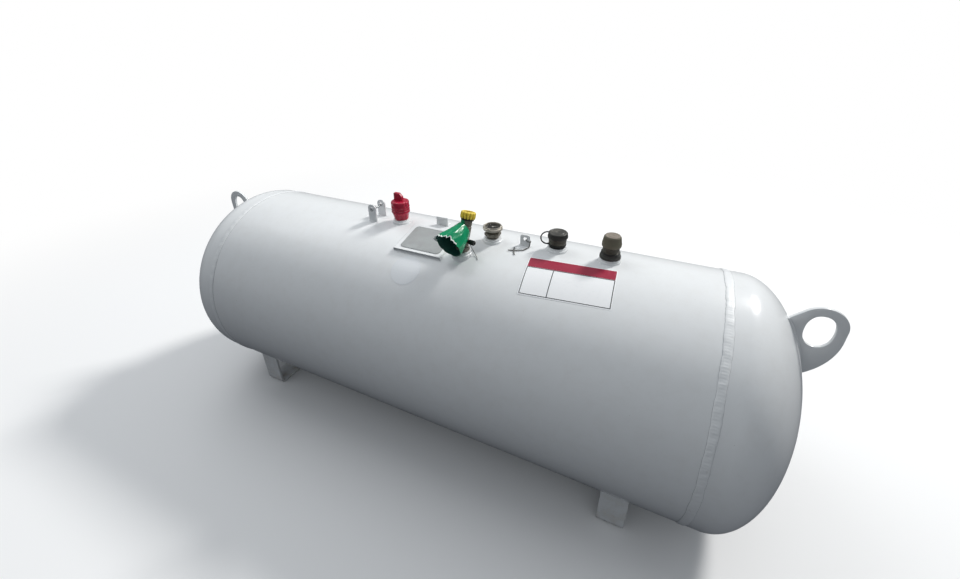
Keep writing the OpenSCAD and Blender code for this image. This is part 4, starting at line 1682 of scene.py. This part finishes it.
@dataclass
class ReliefValve:
    """Brass neck under a soft red cap with a flat tab."""

    port: Port
    cap_d: float = 69.0
    foot_d: float = 53.0
    cap_h: float = 71.0
    tab_w: float = 36.0
    tab_h: float = 29.0
    tab_t: float = 13.0

    def cap(self) -> Surface:
        """The cap: tapered pleated skirt, drum with folds across it, a soft shoulder.

        Pleats add a (0.6 cos(5 t + 1) + 0.4 cos(11 t + z / 9)) less a to the radius, where
        a falls from 1.5 mm at the foot to 0.35 mm at the shoulder, and creases take off up
        to 1.6 mm of a ridged noise.

        Returns:
            The surface.
        """
        r, f, h = self.cap_d / 2 - 0.2, self.foot_d / 2, self.cap_h
        line = rounded([(0, 5), (f - 3.5, 5), (f - 3, 0), (f, 0), (r - 4.2, h * 0.30),
                        (r - 0.2, h * 0.40), (r - 2.2, h * 0.47), (r, h * 0.54),
                        (r - 2.4, h * 0.61), (r, h * 0.68), (r - 1.8, h * 0.75),
                        (r - 0.6, h), (r - 9, h), (0, h - 1.2)],
                       [0, 0.4, 1, 1.4, 4, 1.6, 1.6, 1.8, 1.6, 2.0, 2.5, 7, 3, 0], 7)

        def pleat(radius: Array, z: Array, t: Array) -> Array:
            """Pleats that fade upwards, and creases all over.

            Args:
                radius: the radii.
                z: the heights.
                t: the turns.

            Returns:
                What the radii get added.
            """
            a = 0.35 + 1.15 * np.clip(1 - z / (0.45 * h), 0, 1)
            a = a * np.clip(radius / 20, 0, 1)
            ridge = wave_noise(3.4 * np.cos(t), 3.4 * np.sin(t), z / 11, seed=17)
            crease = 1.6 * np.clip(1 - 2.4 * np.abs(ridge), 0, 1) * np.clip(radius / 20, 0, 1)
            return a * (0.6 * np.cos(5 * t + 1) + 0.4 * np.cos(11 * t + z / 9)) - a - crease
        return turned(line, 240, change=pleat)

    def tab(self) -> Surface:
        """The tab: a thick flat piece with round corners, one corner cut back.

        Returns:
            The surface.
        """
        w, h = self.tab_w, self.tab_h
        left = -w * 0.62
        line = rounded([(left, -6), (left + w, -6), (left + w, h * 0.55),
                        (left + w * 0.66, h), (left + 1, h)], [0.5, 0.5, 8, 8, 4], 8,
                       closed=True)
        made = slab(resampled(line, 150, True), self.tab_t, 2.6, 6)
        p = made.points
        made.points = np.stack([p[:, 0], self.tab_t / 2 - p[:, 2],
                                p[:, 1] + self.cap_h - 0.6], -1)
        return made.outward()

    def build(self) -> None:
        """Makes the cap and dresses the neck that the frame keeps."""
        cap = self.port.stand(self.cap().joined(self.tab()))
        make_piece("red_cap", cap, RED, ("relief_cap",), 45)
        dress_node("relief_valve", BRASS)


def dress_node(node: str, finish: Finish) -> None:
    """Gives a node of the frame a finish in every slot.

    Args:
        node: the node's name.
        finish: its finish.
    """
    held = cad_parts[node]
    if not held.material_slots:
        held.data.materials.append(finish.material())
    for slot in held.material_slots:
        slot.material = finish.material()


@dataclass
class ServiceValve:
    """Leaning valve with a ribbed handwheel, a side outlet and its loose sleeve.

    The body's own frame has Z along the body and -Y to the outlet's side; leaned() carries
    it to the collar.
    """

    port: Port
    turn: float = 12.0
    lean: float = 18.0
    low: float = 8.0
    body_d: float = 35.0
    body_h: float = 100.0
    flats: float = 44.0
    hex_h: float = 15.0
    bonnet_h: float = 9.0
    wheel_d: float = 51.0
    wheel_h: float = 25.0
    # Height of the black ring under the wheel, a dark part that paints the shade beneath it.
    shade_ring_h: float = 5.0
    outlet_h: float = 80.0
    outlet_l: float = 44.0
    outlet_d: float = 26.0
    mouth_d: float = 96.0
    squeeze: float = 0.03
    roll: float = -15.0
    neck_up: float = 28.0
    neck_down: float = 40.0
    neck_side: float = 21.0
    sleeve_l: float = 83.0
    sleeve_start: float = 14.0
    droop: float = 23.0
    sheet: float = 2.0
    stub_d: float = 16.0
    stub_l: float = 27.0
    stub_h: float = 33.0

    def nut(self) -> Surface:
        """The chamfered hexagon on the collar.

        Returns:
            The surface.
        """
        f = self.flats / 2
        line = rounded([(0, 0), (f, 0), (f * 1.14, 1.6), (f * 1.14, self.hex_h - 2.4),
                        (f, self.hex_h), (0, self.hex_h)], 0.4, 3)
        return turned(line, 144, limit=hexagon(self.flats))

    def barrel(self) -> Surface:
        """A turned barrel with bands and grooves, and the bonnet's hexagon on it.

        Returns:
            The surface.
        """
        r, h = self.body_d / 2, self.body_h
        top = h - self.bonnet_h
        line = rounded([(0, self.low), (r, self.low), (r, 40), (r - 1.6, 41), (r - 1.6, 45),
                        (r, 46), (r, top - 12), (r - 1.8, top - 11), (r - 1.8, top - 8),
                        (r, top - 7), (r, top - 1), (r - 1, top), (0, top)], 0.5, 3)
        cap = rounded([(0, top - 1), (r * 0.98, top - 1), (r * 0.98, h - 1.5),
                       (r * 0.84, h), (0, h)], 0.5, 3)
        return turned(line, 96).joined(turned(cap, 144, limit=hexagon(self.body_d * 0.86)))

    def outlet(self) -> Surface:
        """The outlet: a level pipe, bored, its thread a wave of 0.5 mm every 2 mm.

        Returns:
            The surface.
        """
        d, end, bore = self.outlet_d / 2, self.outlet_l, self.outlet_d * 0.3
        z = np.linspace(end - 18, end - 1, 69)
        thread = np.stack([d - 0.5 + 0.5 * np.cos(math.pi * z), z], -1)
        line = np.vstack([[(0, 4), (d, 4), (d, end - 20), (d - 0.6, end - 19)], thread,
                          [(d - 1.4, end), (bore + 1, end), (bore, end - 1),
                           (bore, end - 22), (0, end - 22)]])
        return turned(line, 72).placed((0, 0, self.outlet_h), self.direction(0.0), (1, 0, 0))

    def direction(self, droop: float) -> tuple:
        """Direction in the body's frame that ends up to the front, below the level."""
        a = math.radians(self.lean + droop)
        return 0.0, -math.cos(a), -math.sin(a)

    def wheel(self) -> Surface:
        """The handwheel: 14 round ribs, a stepped top and a hollow in its middle.

        The rim's radius gets 4 |cos(7 t)| less 2.6 mm added.

        Returns:
            The surface.
        """
        r, h = self.wheel_d / 2, self.wheel_h
        line = rounded([(0, 0), (r - 8, 0), (r - 3, 2), (r - 1.5, h * 0.3),
                        (r - 1.5, h * 0.84), (r - 5, h), (r - 9, h), (r - 10, h - 3),
                        (0, h - 3)], [0, 2, 3, 5, 3, 1.5, 1, 1, 0], 6)

        def ribs(radius: Array, z: Array, t: Array) -> Array:
            """Ribs on the rim."""
            on = np.clip((radius - (r - 7)) / 4, 0, 1) * np.clip(1.5 - z / h, 0, 1)
            return on * (4.0 * np.abs(np.cos(7 * t)) - 2.6)
        made = turned(line, 224, change=ribs)
        # Faces in the rib grooves, in the top hollow and on the underside take finish 1, the dark
        # yellow: painted shade.
        ring = made.points[made.faces[0]].mean(1)
        hollow = (np.linalg.norm(ring[:, :2], axis=1) < r - 3.2) & (ring[:, 2] < h * 0.9)
        made.marks[0] = hollow.astype(int)
        # A black ring under the wheel, marked 2 for black rubber: a dark part that paints the
        # shade beneath the wheel.
        shade_ring = rounded([(0, -1), (r - 5, -1), (r - 4, self.shade_ring_h), (0, self.shade_ring_h)],
                         [0, 0.8, 0.8, 0], 3)
        made = made.moved((0, 0, self.shade_ring_h * 0.5)).joined(turned(shade_ring, 64).marked(2))
        return made.moved((0, 0, self.body_h))

    def sleeve(self) -> Surface:
        """The sleeve: an open bell with soft folds, creases and a torn rim.

        Along the sleeve s runs from 0 to 1 and round it t, whose 90 degrees is upwards and
        180 to the left. The radius goes from the neck, an oval that is taller below than
        above, to half the mouth as s + 0.3 s (1 - s). Folds take up to 3 s off it, and
        creases 2 s times a ridged noise; the lower right side swells by 12 s^2 (1 - s).
        Across the roll's direction the section is squeezed by a share that grows with s. The
        rim stands out as a lip at its upper left, and is cut back at its top by jagged noise.
        The inner wall is the same, one sheet nearer the middle, and a flange closes the
        narrow end.

        Returns:
            The surface.
        """
        rows, columns, rim = 60, 360, 4
        t = turns(columns)[None]
        s = np.linspace(0, 1, rows)[:, None]
        lip = np.clip((np.cos(t - math.radians(122)) - 0.6) / 0.4, 0, 1)
        torn = np.clip(np.cos(t - math.radians(92)) * 2.2 - 0.9, 0, 1)
        jag = np.abs(wave_noise(9 * np.cos(t), 9 * np.sin(t), seed=21)) * 6.5 \
            + np.abs(wave_noise(34 * np.cos(t), 34 * np.sin(t), seed=5)) * 2.4
        c, d = np.cos(t), np.sin(t)
        length = self.sleeve_l - 0.6 + 13 * lip - np.clip(jag, 0, 12) * (0.08 + torn)
        folds = 1.5 * (np.cos(3 * t + 1) - 1) * s + 0.8 * np.cos(8 * t + 4 * s) * s * s
        crease = np.abs(wave_noise(3.2 * c + 2 * s, 3.2 * d, 3.0 * s, seed=12))
        soft = wave_noise(5 * c, 5 * d, 2.4 * s, seed=6)
        tall = np.where(d > 0, self.neck_up, self.neck_down)
        neck = 1 / np.sqrt((c / self.neck_side) ** 2 + (d / tall) ** 2)
        r = neck + (self.mouth_d / 2 - neck) * (s + 0.3 * s * (1 - s))
        r = r + folds - 2.0 * s * np.clip(crease, 0, 1.6) + 1.4 * s * (1 - s) * soft \
            + 12 * s * s * (1 - s) * np.clip(np.cos(t + math.radians(40)), 0, 1) \
            + 8.0 * lip * s ** 3 - s ** 14 * 1.4 * np.clip(jag / 5, 0, 1.5) * torn
        outer = self.squeezed(r, t, s, s * length)
        ri = r - self.sheet * (1 - 0.45 * s ** 8)
        zi = np.maximum(s * length, self.sheet)
        inner = self.squeezed(ri, t, s, zi)[::-1]
        hole = self.outlet_d / 2 + 0.3
        back = np.stack([np.stack([hole * c, hole * d, z + 0 * c], -1)[0]
                         for z in (self.sheet, 0.0)])
        made = grid(np.concatenate([outer, inner, back]), loop=True)
        marks = np.zeros((2 * rows + 2, columns), int)
        # The inner wall takes finish 1, the dark green: painted shade inside the bell.
        marks[rows:2 * rows - 1] = 1
        edge = slice(rows - rim, rows + rim)
        marks[edge] = np.where((torn > 0.1) | (lip > 0.35), 2, marks[edge])
        made.marks = [marks.ravel()]
        along = self.direction(self.droop)
        origin = np.array([0, 0, self.outlet_h]) + self.sleeve_start * np.array(along)
        return made.placed(tuple(origin), along, (1, 0, 0))

    def squeezed(self, r: Array, t: Array, s: Array, z: Array) -> Array:
        """Points of the sleeve, drawn together across the roll by the squeeze times s.

        Args:
            r: the radius.
            t: the turn.
            s: the share of the sleeve's length.
            z: the distance along the sleeve.

        Returns:
            The points in the sleeve's frame.
        """
        roll = math.radians(self.roll)
        along, across = r * np.cos(t - roll), r * np.sin(t - roll) * (1 - self.squeeze * s)
        return np.stack([along * math.cos(roll) - across * math.sin(roll),
                         along * math.sin(roll) + across * math.cos(roll), z + 0 * t], -1)

    def grip(self) -> Surface:
        """The sleeve's grip: a sheet that wraps the barrel's front and left side.

        At each height it runs from the left side of the back to an edge that slants from
        the front, at the top, to the right, at its foot. It thins out to nothing at its top
        and its foot.

        Returns:
            The surface.
        """
        left_back, right_foot, slant = math.radians(-215), -34, 50
        low, top = self.stub_h + self.stub_d / 2 + 2, self.body_h + 1
        share = np.linspace(0, 1, 24)[:, None]
        z = low + (top - low) * share
        u = np.linspace(0, 1, 40)[None]
        t = left_back + (np.radians(right_foot - slant * share) - left_back) * u
        thick = 2.2 * np.clip(np.sin(math.pi * share) * 6, 0, 1) \
            * np.clip(np.sin(math.pi * u) * 5, 0.15, 1)
        r = self.body_d / 2 + 0.15
        outer = np.stack([(r + thick) * np.cos(t), (r + thick) * np.sin(t), z + 0 * t], -1)
        inner = np.stack([r * np.cos(t) + 0 * z, r * np.sin(t) + 0 * z, z + 0 * t], -1)
        return grid(np.concatenate([outer, inner[:, ::-1]], axis=1))

    def stub(self) -> Surface:
        """The bleeder stub: a knurled knob with a hollow in its end.

        Returns:
            The surface.
        """
        r, start = self.stub_d / 2, self.body_d / 2 - 0.5
        end = start + self.stub_l
        line = rounded([(0, start), (r - 3, start), (r - 3, start + 6), (r - 0.4, start + 7.5),
                        (r - 0.4, end - 1.5), (r - 1.6, end), (2.4, end), (2.4, end - 3),
                        (0, end - 3)], 0.5, 3)

        def knurl(radius: Array, z: Array, t: Array) -> Array:
            """Fine knurls on the wide part."""
            return np.where(radius > r - 1, 0.4 * np.cos(20 * t), 0)
        return turned(line, 160, change=knurl).placed((0, 0, self.stub_h), (1, 0, 0),
                                                      (0, 0, 1))

    def seal_wire(self) -> Surface:
        """A thin wire from the stub down to the shell, on its right.

        Returns:
            The surface.
        """
        def foot(y: float) -> float:
            """Height of the shell at a place across, counted from the collar's top."""
            return float(self.port.vessel.surface_z(self.port.y + y)) - self.port.seat[2]
        path = rounded([(26, 4, 27), (31, 5, 14), (46, 3, foot(3) + 3),
                        (57, -7, foot(-7) + 1.2), (62, -15, foot(-15) + 0.2)],
                       [0, 8, 10, 8, 0], 6)
        return tube(path, 0.9, 8)

    def build(self) -> None:
        """Makes the valve's pieces."""
        stand = self.port.stand

        def lean(surface: Surface) -> Surface:
            """A surface of the body's frame, leaned and stood on the collar."""
            return stand(surface.leaned(self.lean, self.turn))
        body = lean(self.barrel().joined(self.outlet()))
        make_piece("valve_barrel", body.joined(stand(self.nut().leaned(0, self.turn))),
                   GREY_CAST, ("service_valve",), 32)
        # Yellow, then painted shade in the grooves and hollows, then black for the ring of painted
        # shade under the wheel.
        make_piece("valve_handwheel", lean(self.wheel()), [YELLOW, YELLOW_GROOVE_SHADE, RUBBER],
                   ("service_handwheel",), 40)
        make_piece("outlet_sleeve", lean(self.sleeve().joined(self.grip())),
                   [GREEN, GREEN_INSIDE_SHADE, TORN], ("service_sleeve",), 50)
        make_piece("bleeder_knob", lean(self.stub()), RUBBER,
                   ("bleeder_stub",), 32)
        make_piece("bleeder_wire", stand(self.seal_wire()), DARK_WIRE)


@dataclass
class LevelGauge:
    """Hexagon, round cast ring with four screws, and a bare dial with ticks."""

    port: Port
    flats: float = 50.0
    hex_h: float = 26.0
    ring_d: float = 68.0
    ring_h: float = 17.0
    dial_d: float = 52.0
    recess: float = 6.0
    needle_turn: float = 0.7

    def nut(self) -> Surface:
        """A hexagon with two chamfers on a round foot, and a narrow waist above it.

        Returns:
            The surface.
        """
        f, h = self.flats / 2, self.hex_h
        line = rounded([(0, 0), (f * 0.78, 0), (f * 0.84, 6), (f * 0.98, 8), (f * 1.14, 10),
                        (f * 1.14, h - 9), (f * 0.98, h - 7), (f * 0.72, h - 5.5),
                        (f * 0.72, h), (0, h)], 0.4, 3)
        return turned(line, 144, limit=hexagon(self.flats))

    def ring(self) -> Surface:
        """The ring: a stepped casting with a rim and a flat recess for the dial.

        Returns:
            The surface.
        """
        r, h, d = self.ring_d / 2, self.ring_h, self.dial_d / 2
        line = rounded([(0, 0), (self.flats / 2 - 2, 0), (self.flats / 2 - 1, 3), (r, 5),
                        (r, h - 5.5), (r - 3.5, h - 4.5), (d + 4, h - 1), (d + 2, h), (d, h - 1),
                        (d, h - self.recess - 2), (0, h - self.recess - 2)],
                       [0, 0.5, 1.0, 1.2, 1.2, 1, 0.8, 0.8, 0.6, 0.3, 0], 5)

        def lobes(radius: Array, z: Array, t: Array) -> Array:
            """Four low swellings where the screws sit."""
            near = np.clip(np.cos(4 * t) - 0.4, 0, 1)
            return np.where((radius > d + 3) & (z > 3), -1.0 + 1.0 * near / 0.6, 0)
        made = turned(line, 192, change=lobes)
        head = rounded([(0, -2), (2.6, -2), (2.6, 1.4), (1.4, 2.2), (0, 2.2)],
                       [0, 0, 0.7, 0.5, 0], 4)
        for k in range(4):
            a = k * math.pi / 2
            place = ((d + 5.2) * math.cos(a), (d + 5.2) * math.sin(a), h - 4.4)
            made = made.joined(turned(head, 24).moved(place))
        return made.moved((0, 0, self.hex_h))

    def dial(self) -> Surface:
        """The dial: a disc, ticks on three quarters of a turn, and a needle.

        Returns:
            The surface.
        """
        d = self.dial_d / 2 - 0.4
        z = self.hex_h + self.ring_h - self.recess
        disc = turned(rounded([(0, -2), (d, -2), (d, 0), (0, 0)], [0, 0.2, 0.3, 0], 3), 96)
        made = disc.moved((0, 0, z))
        w, r1 = 0.45, d - 2.5
        for k in range(13):
            a = math.radians(-135 + k * 22.5) - math.pi / 2
            r0 = r1 - (6.0 if k % 3 == 0 else 3.6)
            line = swung(np.array(box(r0, r1, -w, w)), a)
            made = made.joined(slab(line, 0.2, 0.02, 2).moved((0, 0, z)).marked(1))
        # The needle is pale so that it also stands for glints in the dial's recess: partly a
        # painted highlight.
        needle = np.array([(-4, -1.1), (d - 9, -0.3), (d - 9, 0.3), (-4, 1.1)])
        needle = swung(needle, self.needle_turn)
        hub = turned(rounded([(0, 0), (2.4, 0), (2.4, 1), (0, 1.3)], 0.3, 3), 24)
        return made.joined(slab(needle, 0.5, 0.1, 2).moved((0, 0, z + 0.3)).marked(2),
                           hub.moved((0, 0, z)).marked(1))

    def build(self) -> None:
        """Makes the gauge's pieces."""
        stand = self.port.stand
        make_piece("gauge_hexagon", stand(self.nut()), GREY_CAST,
                   ("gauge_body",), 32)
        make_piece("gauge_casting", stand(self.ring()), PALE_CAST,
                   ("gauge_ring",), 40)
        make_piece("gauge_face", stand(self.dial()), [DIAL, MARKS, PALE_CAST],
                   ("gauge_dial",), 40)


@dataclass
class CappedValve:
    """A valve under a screw cap that a cord holds to it."""

    port: Port
    name: str
    cap_d: float
    top_d: float
    body_d: float
    body_h: float
    cap_h: float
    strap_reach: float
    strap_turn: float
    flange_d: float = 0.0
    flange_h: float = 0.0
    neck_d: float = 42.0
    cord_d: float = 4.4
    flange_finish: Finish = RUBBER
    body_finish: Finish = DARK_BRASS
    cap_finish: Finish = BLACK
    top_finish: Finish = BLACK_TOP
    body_slot: str = "dark_brass"
    cap_slot: str = "black_plastic"

    def body(self) -> Surface:
        """The body: a flange where there is one, the band's groove and a flared barrel.

        Returns:
            The surface.
        """
        n, b, h, f = self.neck_d / 2 + 4, self.body_d / 2, self.body_h, self.flange_h
        g = f + 6
        m = (g + h) / 2
        line = rounded([(0, f), (n, f), (n, g), (b - 2, g), (b - 1.2, m), (b - 2.2, m + 1),
                        (b - 2.2, m + 2.4), (b - 0.6, m + 3.4), (b, h - 0.6),
                        (n - 4, h - 0.2), (n - 4, h + 2), (0, h + 2)],
                       [0, 0.3, 0.5, 1.2, 0.8, 0.4, 0.4, 0.8, 0.8, 0.3, 0, 0], 4)
        made = turned(line, 128)
        if self.flange_d:
            r = self.flange_d / 2
            line = rounded([(0, 0), (r - 0.8, 0), (r, 1), (r, f * 0.5), (r - 2, f * 0.62),
                            (r - 2.6, f - 1.4), (r - 4.4, f), (0, f)],
                           [0, 0.4, 0.6, 0.8, 1, 1, 0.8, 0], 4)
            made = made.joined(turned(line, 128).marked(1))
        return made

    def cap(self) -> Surface:
        """The cap: fine upright ribs round its side, a soft shoulder, two rings on top.

        Ribs add 0.35 cos(48 t) to the radius of the side below its shoulder.

        Returns:
            The surface.
        """
        r, q, h = self.cap_d / 2 - 0.4, self.top_d / 2 - 0.4, self.cap_h
        line = rounded([(0, 2), (r - 4, 2), (r - 3, 0), (r, 0), (r, h * 0.28),
                        (r - 0.6, h * 0.34), (q + (r - q) * 0.25, h * 0.88), (q - 2, h),
                        (q - 7, h), (q - 8, h - 0.8), (q - 10, h - 0.8), (q - 11, h),
                        (6, h), (5, h - 1), (0, h - 1)],
                       [0, 0.3, 0.6, 0.8, 1.5, 1.5, 3, 1.6, 0.5, 0.4, 0.4, 0.5, 0.5, 0.5, 0],
                       5)

        def ribs(radius: Array, z: Array, t: Array) -> Array:
            """Ribs on the side."""
            on = (radius > q + (r - q) * 0.2) & (z > 1) & (z < h * 0.9)
            return np.where(on, 0.35 * np.cos(48 * t), 0)
        columns = 384
        made = turned(line, columns, change=ribs)
        marks = made.marks[0].reshape(-1, columns)
        marks[line[:-1, 1] > h * 0.93] = 1
        made.marks = [marks.ravel(), made.marks[1], np.full(len(made.marks[2]), 1)]
        return made.moved((0, 0, self.body_h))

    def cord(self) -> Surface:
        """The strap: a band round the neck, and a cord that loops up to the cap.

        The loop is half a circle in an upright plane, whose ends run inwards to the band
        and to the cap; the whole is then turned about Z.

        Returns:
            The surface.
        """
        band, foot = self.neck_d / 2 + 4.2, self.flange_h
        mid, edge = foot + 2.5, self.cap_d / 2
        ring = rounded(box(band, band + 3, foot + 0.3, foot + 4.8), 0.9, 4, closed=True)
        r = (self.strap_reach - mid) / 2
        a = np.linspace(-math.pi / 2, math.pi / 2, 40)
        arc = np.stack([edge + r * np.cos(a), 0 * a, mid + r + r * np.sin(a)], -1)
        path = resampled(np.vstack([[(band + 1.5, 0.0, mid)], arc,
                                    [(edge - 2.2, 0.0, self.strap_reach)]]), 90)
        rope = tube(path, self.cord_d / 2 - 0.1, 14, up=(0, 1, 0))
        clip = rounded([(0, -2.2), (3.4, -2.2), (3.4, 2.2), (0, 2.2)], [0, 0.8, 0.8, 0], 4)
        knob = turned(clip, 24).placed((band + 3.6, 0, mid), (1, 0, 0), (0, 0, 1))
        return turned(ring, 96, closed=True).joined(rope, knob).leaned(0, -self.strap_turn)

    def build(self) -> None:
        """Makes the valve, its cap and its cord."""
        stand = self.port.stand
        make_piece(f"{self.name}_barrel", stand(self.body()),
                   [self.body_finish, self.flange_finish],
                   (f"{self.name}_valve",), 40)
        make_piece(f"{self.name}_screw_cap", stand(self.cap()),
                   [self.cap_finish, self.top_finish],
                   (f"{self.name}_cap",), 40)
        make_piece(f"{self.name}_cap_cord", stand(self.cord()), RUBBER,
                   (f"{self.name}_strap",), 45)


@dataclass(frozen=True)
class Lamp:
    """A square soft lamp, its place, aim and size in metres."""

    name: str
    place: tuple
    aim: tuple
    size: float
    power: float
    colour: tuple

    def build(self) -> None:
        """Makes the lamp, turned to its aim."""
        data = bpy.data.lights.new(self.name, "AREA")
        data.size, data.energy, data.color = self.size, self.power, self.colour
        back = unit(np.array(self.place, float) - np.array(self.aim, float))
        right = unit(np.cross((0.0, 0.0, 1.0), back))
        shown(self.name, data, [right, np.cross(back, right), back], self.place)


KEY = Lamp("key", (4.6, 6.9, 8.3), (0.1, 0, 0.5), 1.8, 1000, (1.0, 0.985, 0.96))
FILL = Lamp("fill", (-2.4, 0.6, 4.2), (-0.4, 0, 0.6), 3.0, 52, (0.97, 0.985, 1.0))


@dataclass
class Studio:
    """Camera at the photograph's viewing angle, pale floor and soft lamps."""

    image: tuple = (960, 579)
    sensor: float = 36.0
    eye: tuple = (690.0, -1162.0, 1432.0)
    turn: tuple = (2.00367699, 0.44441786, -0.29105339)
    focal_px: float = 417.852
    centre_y: float = 244.320
    level: float = 0.27
    lift: float = 0.30
    sky: tuple = (0.90, 0.95, 1.0, 1.0)
    floor_half: float = 40.0
    floor_z: float = -0.0006

    def camera(self) -> None:
        """Sets the camera from its place, its turn and its focal length in pixels.

        The turn is a rotation vector; its matrix (by Rodrigues' formula) has the image's
        right, down and forward directions as rows.
        """
        v = np.array(self.turn)
        angle = np.linalg.norm(v)
        k = v / angle
        cross = np.array([[0, -k[2], k[1]], [k[2], 0, -k[0]], [-k[1], k[0], 0]])
        rows = np.eye(3) + math.sin(angle) * cross + (1 - math.cos(angle)) * cross @ cross
        data = bpy.data.cameras.new("camera")
        data.sensor_fit = "HORIZONTAL"
        data.sensor_width = self.sensor
        data.lens = self.focal_px / self.image[0] * self.sensor
        data.shift_y = (self.centre_y - self.image[1] / 2) / self.image[0]
        data.clip_start, data.clip_end = 0.05, 200.0
        bpy.context.scene.camera = shown("camera", data, [rows[0], -rows[1], -rows[2]],
                                         np.array(self.eye) * MM)

    def world(self) -> None:
        """White to the camera; for the light a cool grey that is brighter overhead.

        The light's strength goes from the level at the horizon to level + lift overhead, by
        the direction's height.
        """
        bpy.context.scene.world = bpy.data.worlds.new("studio")
        g = Graph(bpy.context.scene.world, "ShaderNodeOutputWorld")
        where = g.node("ShaderNodeTexCoord", out="Generated")
        height = g.node("ShaderNodeSeparateXYZ", None, {0: where}, "Z")
        strength = g.node("ShaderNodeMapRange", None,
                          {"Value": height, "To Min": self.level,
                           "To Max": self.level + self.lift})
        light = g.node("ShaderNodeBackground", None,
                       {"Color": self.sky, "Strength": strength})
        white = g.node("ShaderNodeBackground", None, {"Color": WHITE, "Strength": 1.0})
        seen = g.node("ShaderNodeLightPath", out="Is Camera Ray")
        g.close(g.node("ShaderNodeMixShader", None, {0: seen, 1: light, 2: white}))

    def floor(self) -> None:
        """A wide pale floor just under the legs."""
        mesh = bpy.data.meshes.new("floor")
        edge = self.floor_half
        corner = [(x, y, self.floor_z) for x, y in box(-edge, edge, -edge, edge)]
        mesh.from_pydata(corner, [], [(0, 1, 2, 3)])
        mesh.materials.append(Backdrop().material())
        made = shown("floor", mesh)
        made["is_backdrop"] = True

    def build(self) -> None:
        """Makes the camera, the world, the floor and the lamps."""
        self.camera()
        self.world()
        self.floor()
        KEY.build()
        FILL.build()
        bpy.context.scene.view_settings.view_transform = "Standard"


PLACES = {"relief": (-195.0, 0.0), "service": (114.0, -107.0), "gauge": (179.0, -8.0),
          "filler": (394.0, 14.0), "vapour": (560.0, 8.0)}


def corners() -> list:
    """Lowest and highest corner of the shown object as plain numbers."""
    return [[round(v, 6) for v in corner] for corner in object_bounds()]


def main() -> None:
    """Builds the studio and every sub-assembly."""
    logging.basicConfig(level=logging.INFO, format="%(name)s %(message)s")
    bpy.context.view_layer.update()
    Studio().build()
    vessel = Vessel()
    vessel.build()
    for side in Side:
        LiftingLug(vessel, side).build()
    StrapLeg(vessel, "left_leg", -805.0).build()
    StrapLeg(vessel, "right_leg", 707.0).build()
    HoodBrackets(vessel).build()
    Nameplate(vessel).build()
    Films(vessel).build()
    ports = {name: Port(vessel, name, x, y) for name, (x, y) in PLACES.items()}
    for port in ports.values():
        port.build()
    ReliefValve(ports["relief"]).build()
    ServiceValve(ports["service"]).build()
    LevelGauge(ports["gauge"]).build()
    CappedValve(ports["filler"], "filler", cap_d=64.5, top_d=60.0, body_d=58.5, body_h=32.0,
                cap_h=18.0, strap_reach=50.0, strap_turn=200.0, flange_d=52.0,
                flange_h=6.0).build()
    CappedValve(ports["vapour"], "vapour", cap_d=58.0, top_d=48.0, body_d=52.0, body_h=39.0,
                cap_h=34.0, strap_reach=56.0, strap_turn=72.0, flange_d=63.0, flange_h=15.0,
                flange_finish=CHARCOAL, cap_finish=BROWN, top_finish=TAN,
                body_slot="valve_metal", cap_slot="brown_plastic").build()


if __name__ == "__main__":
    main()
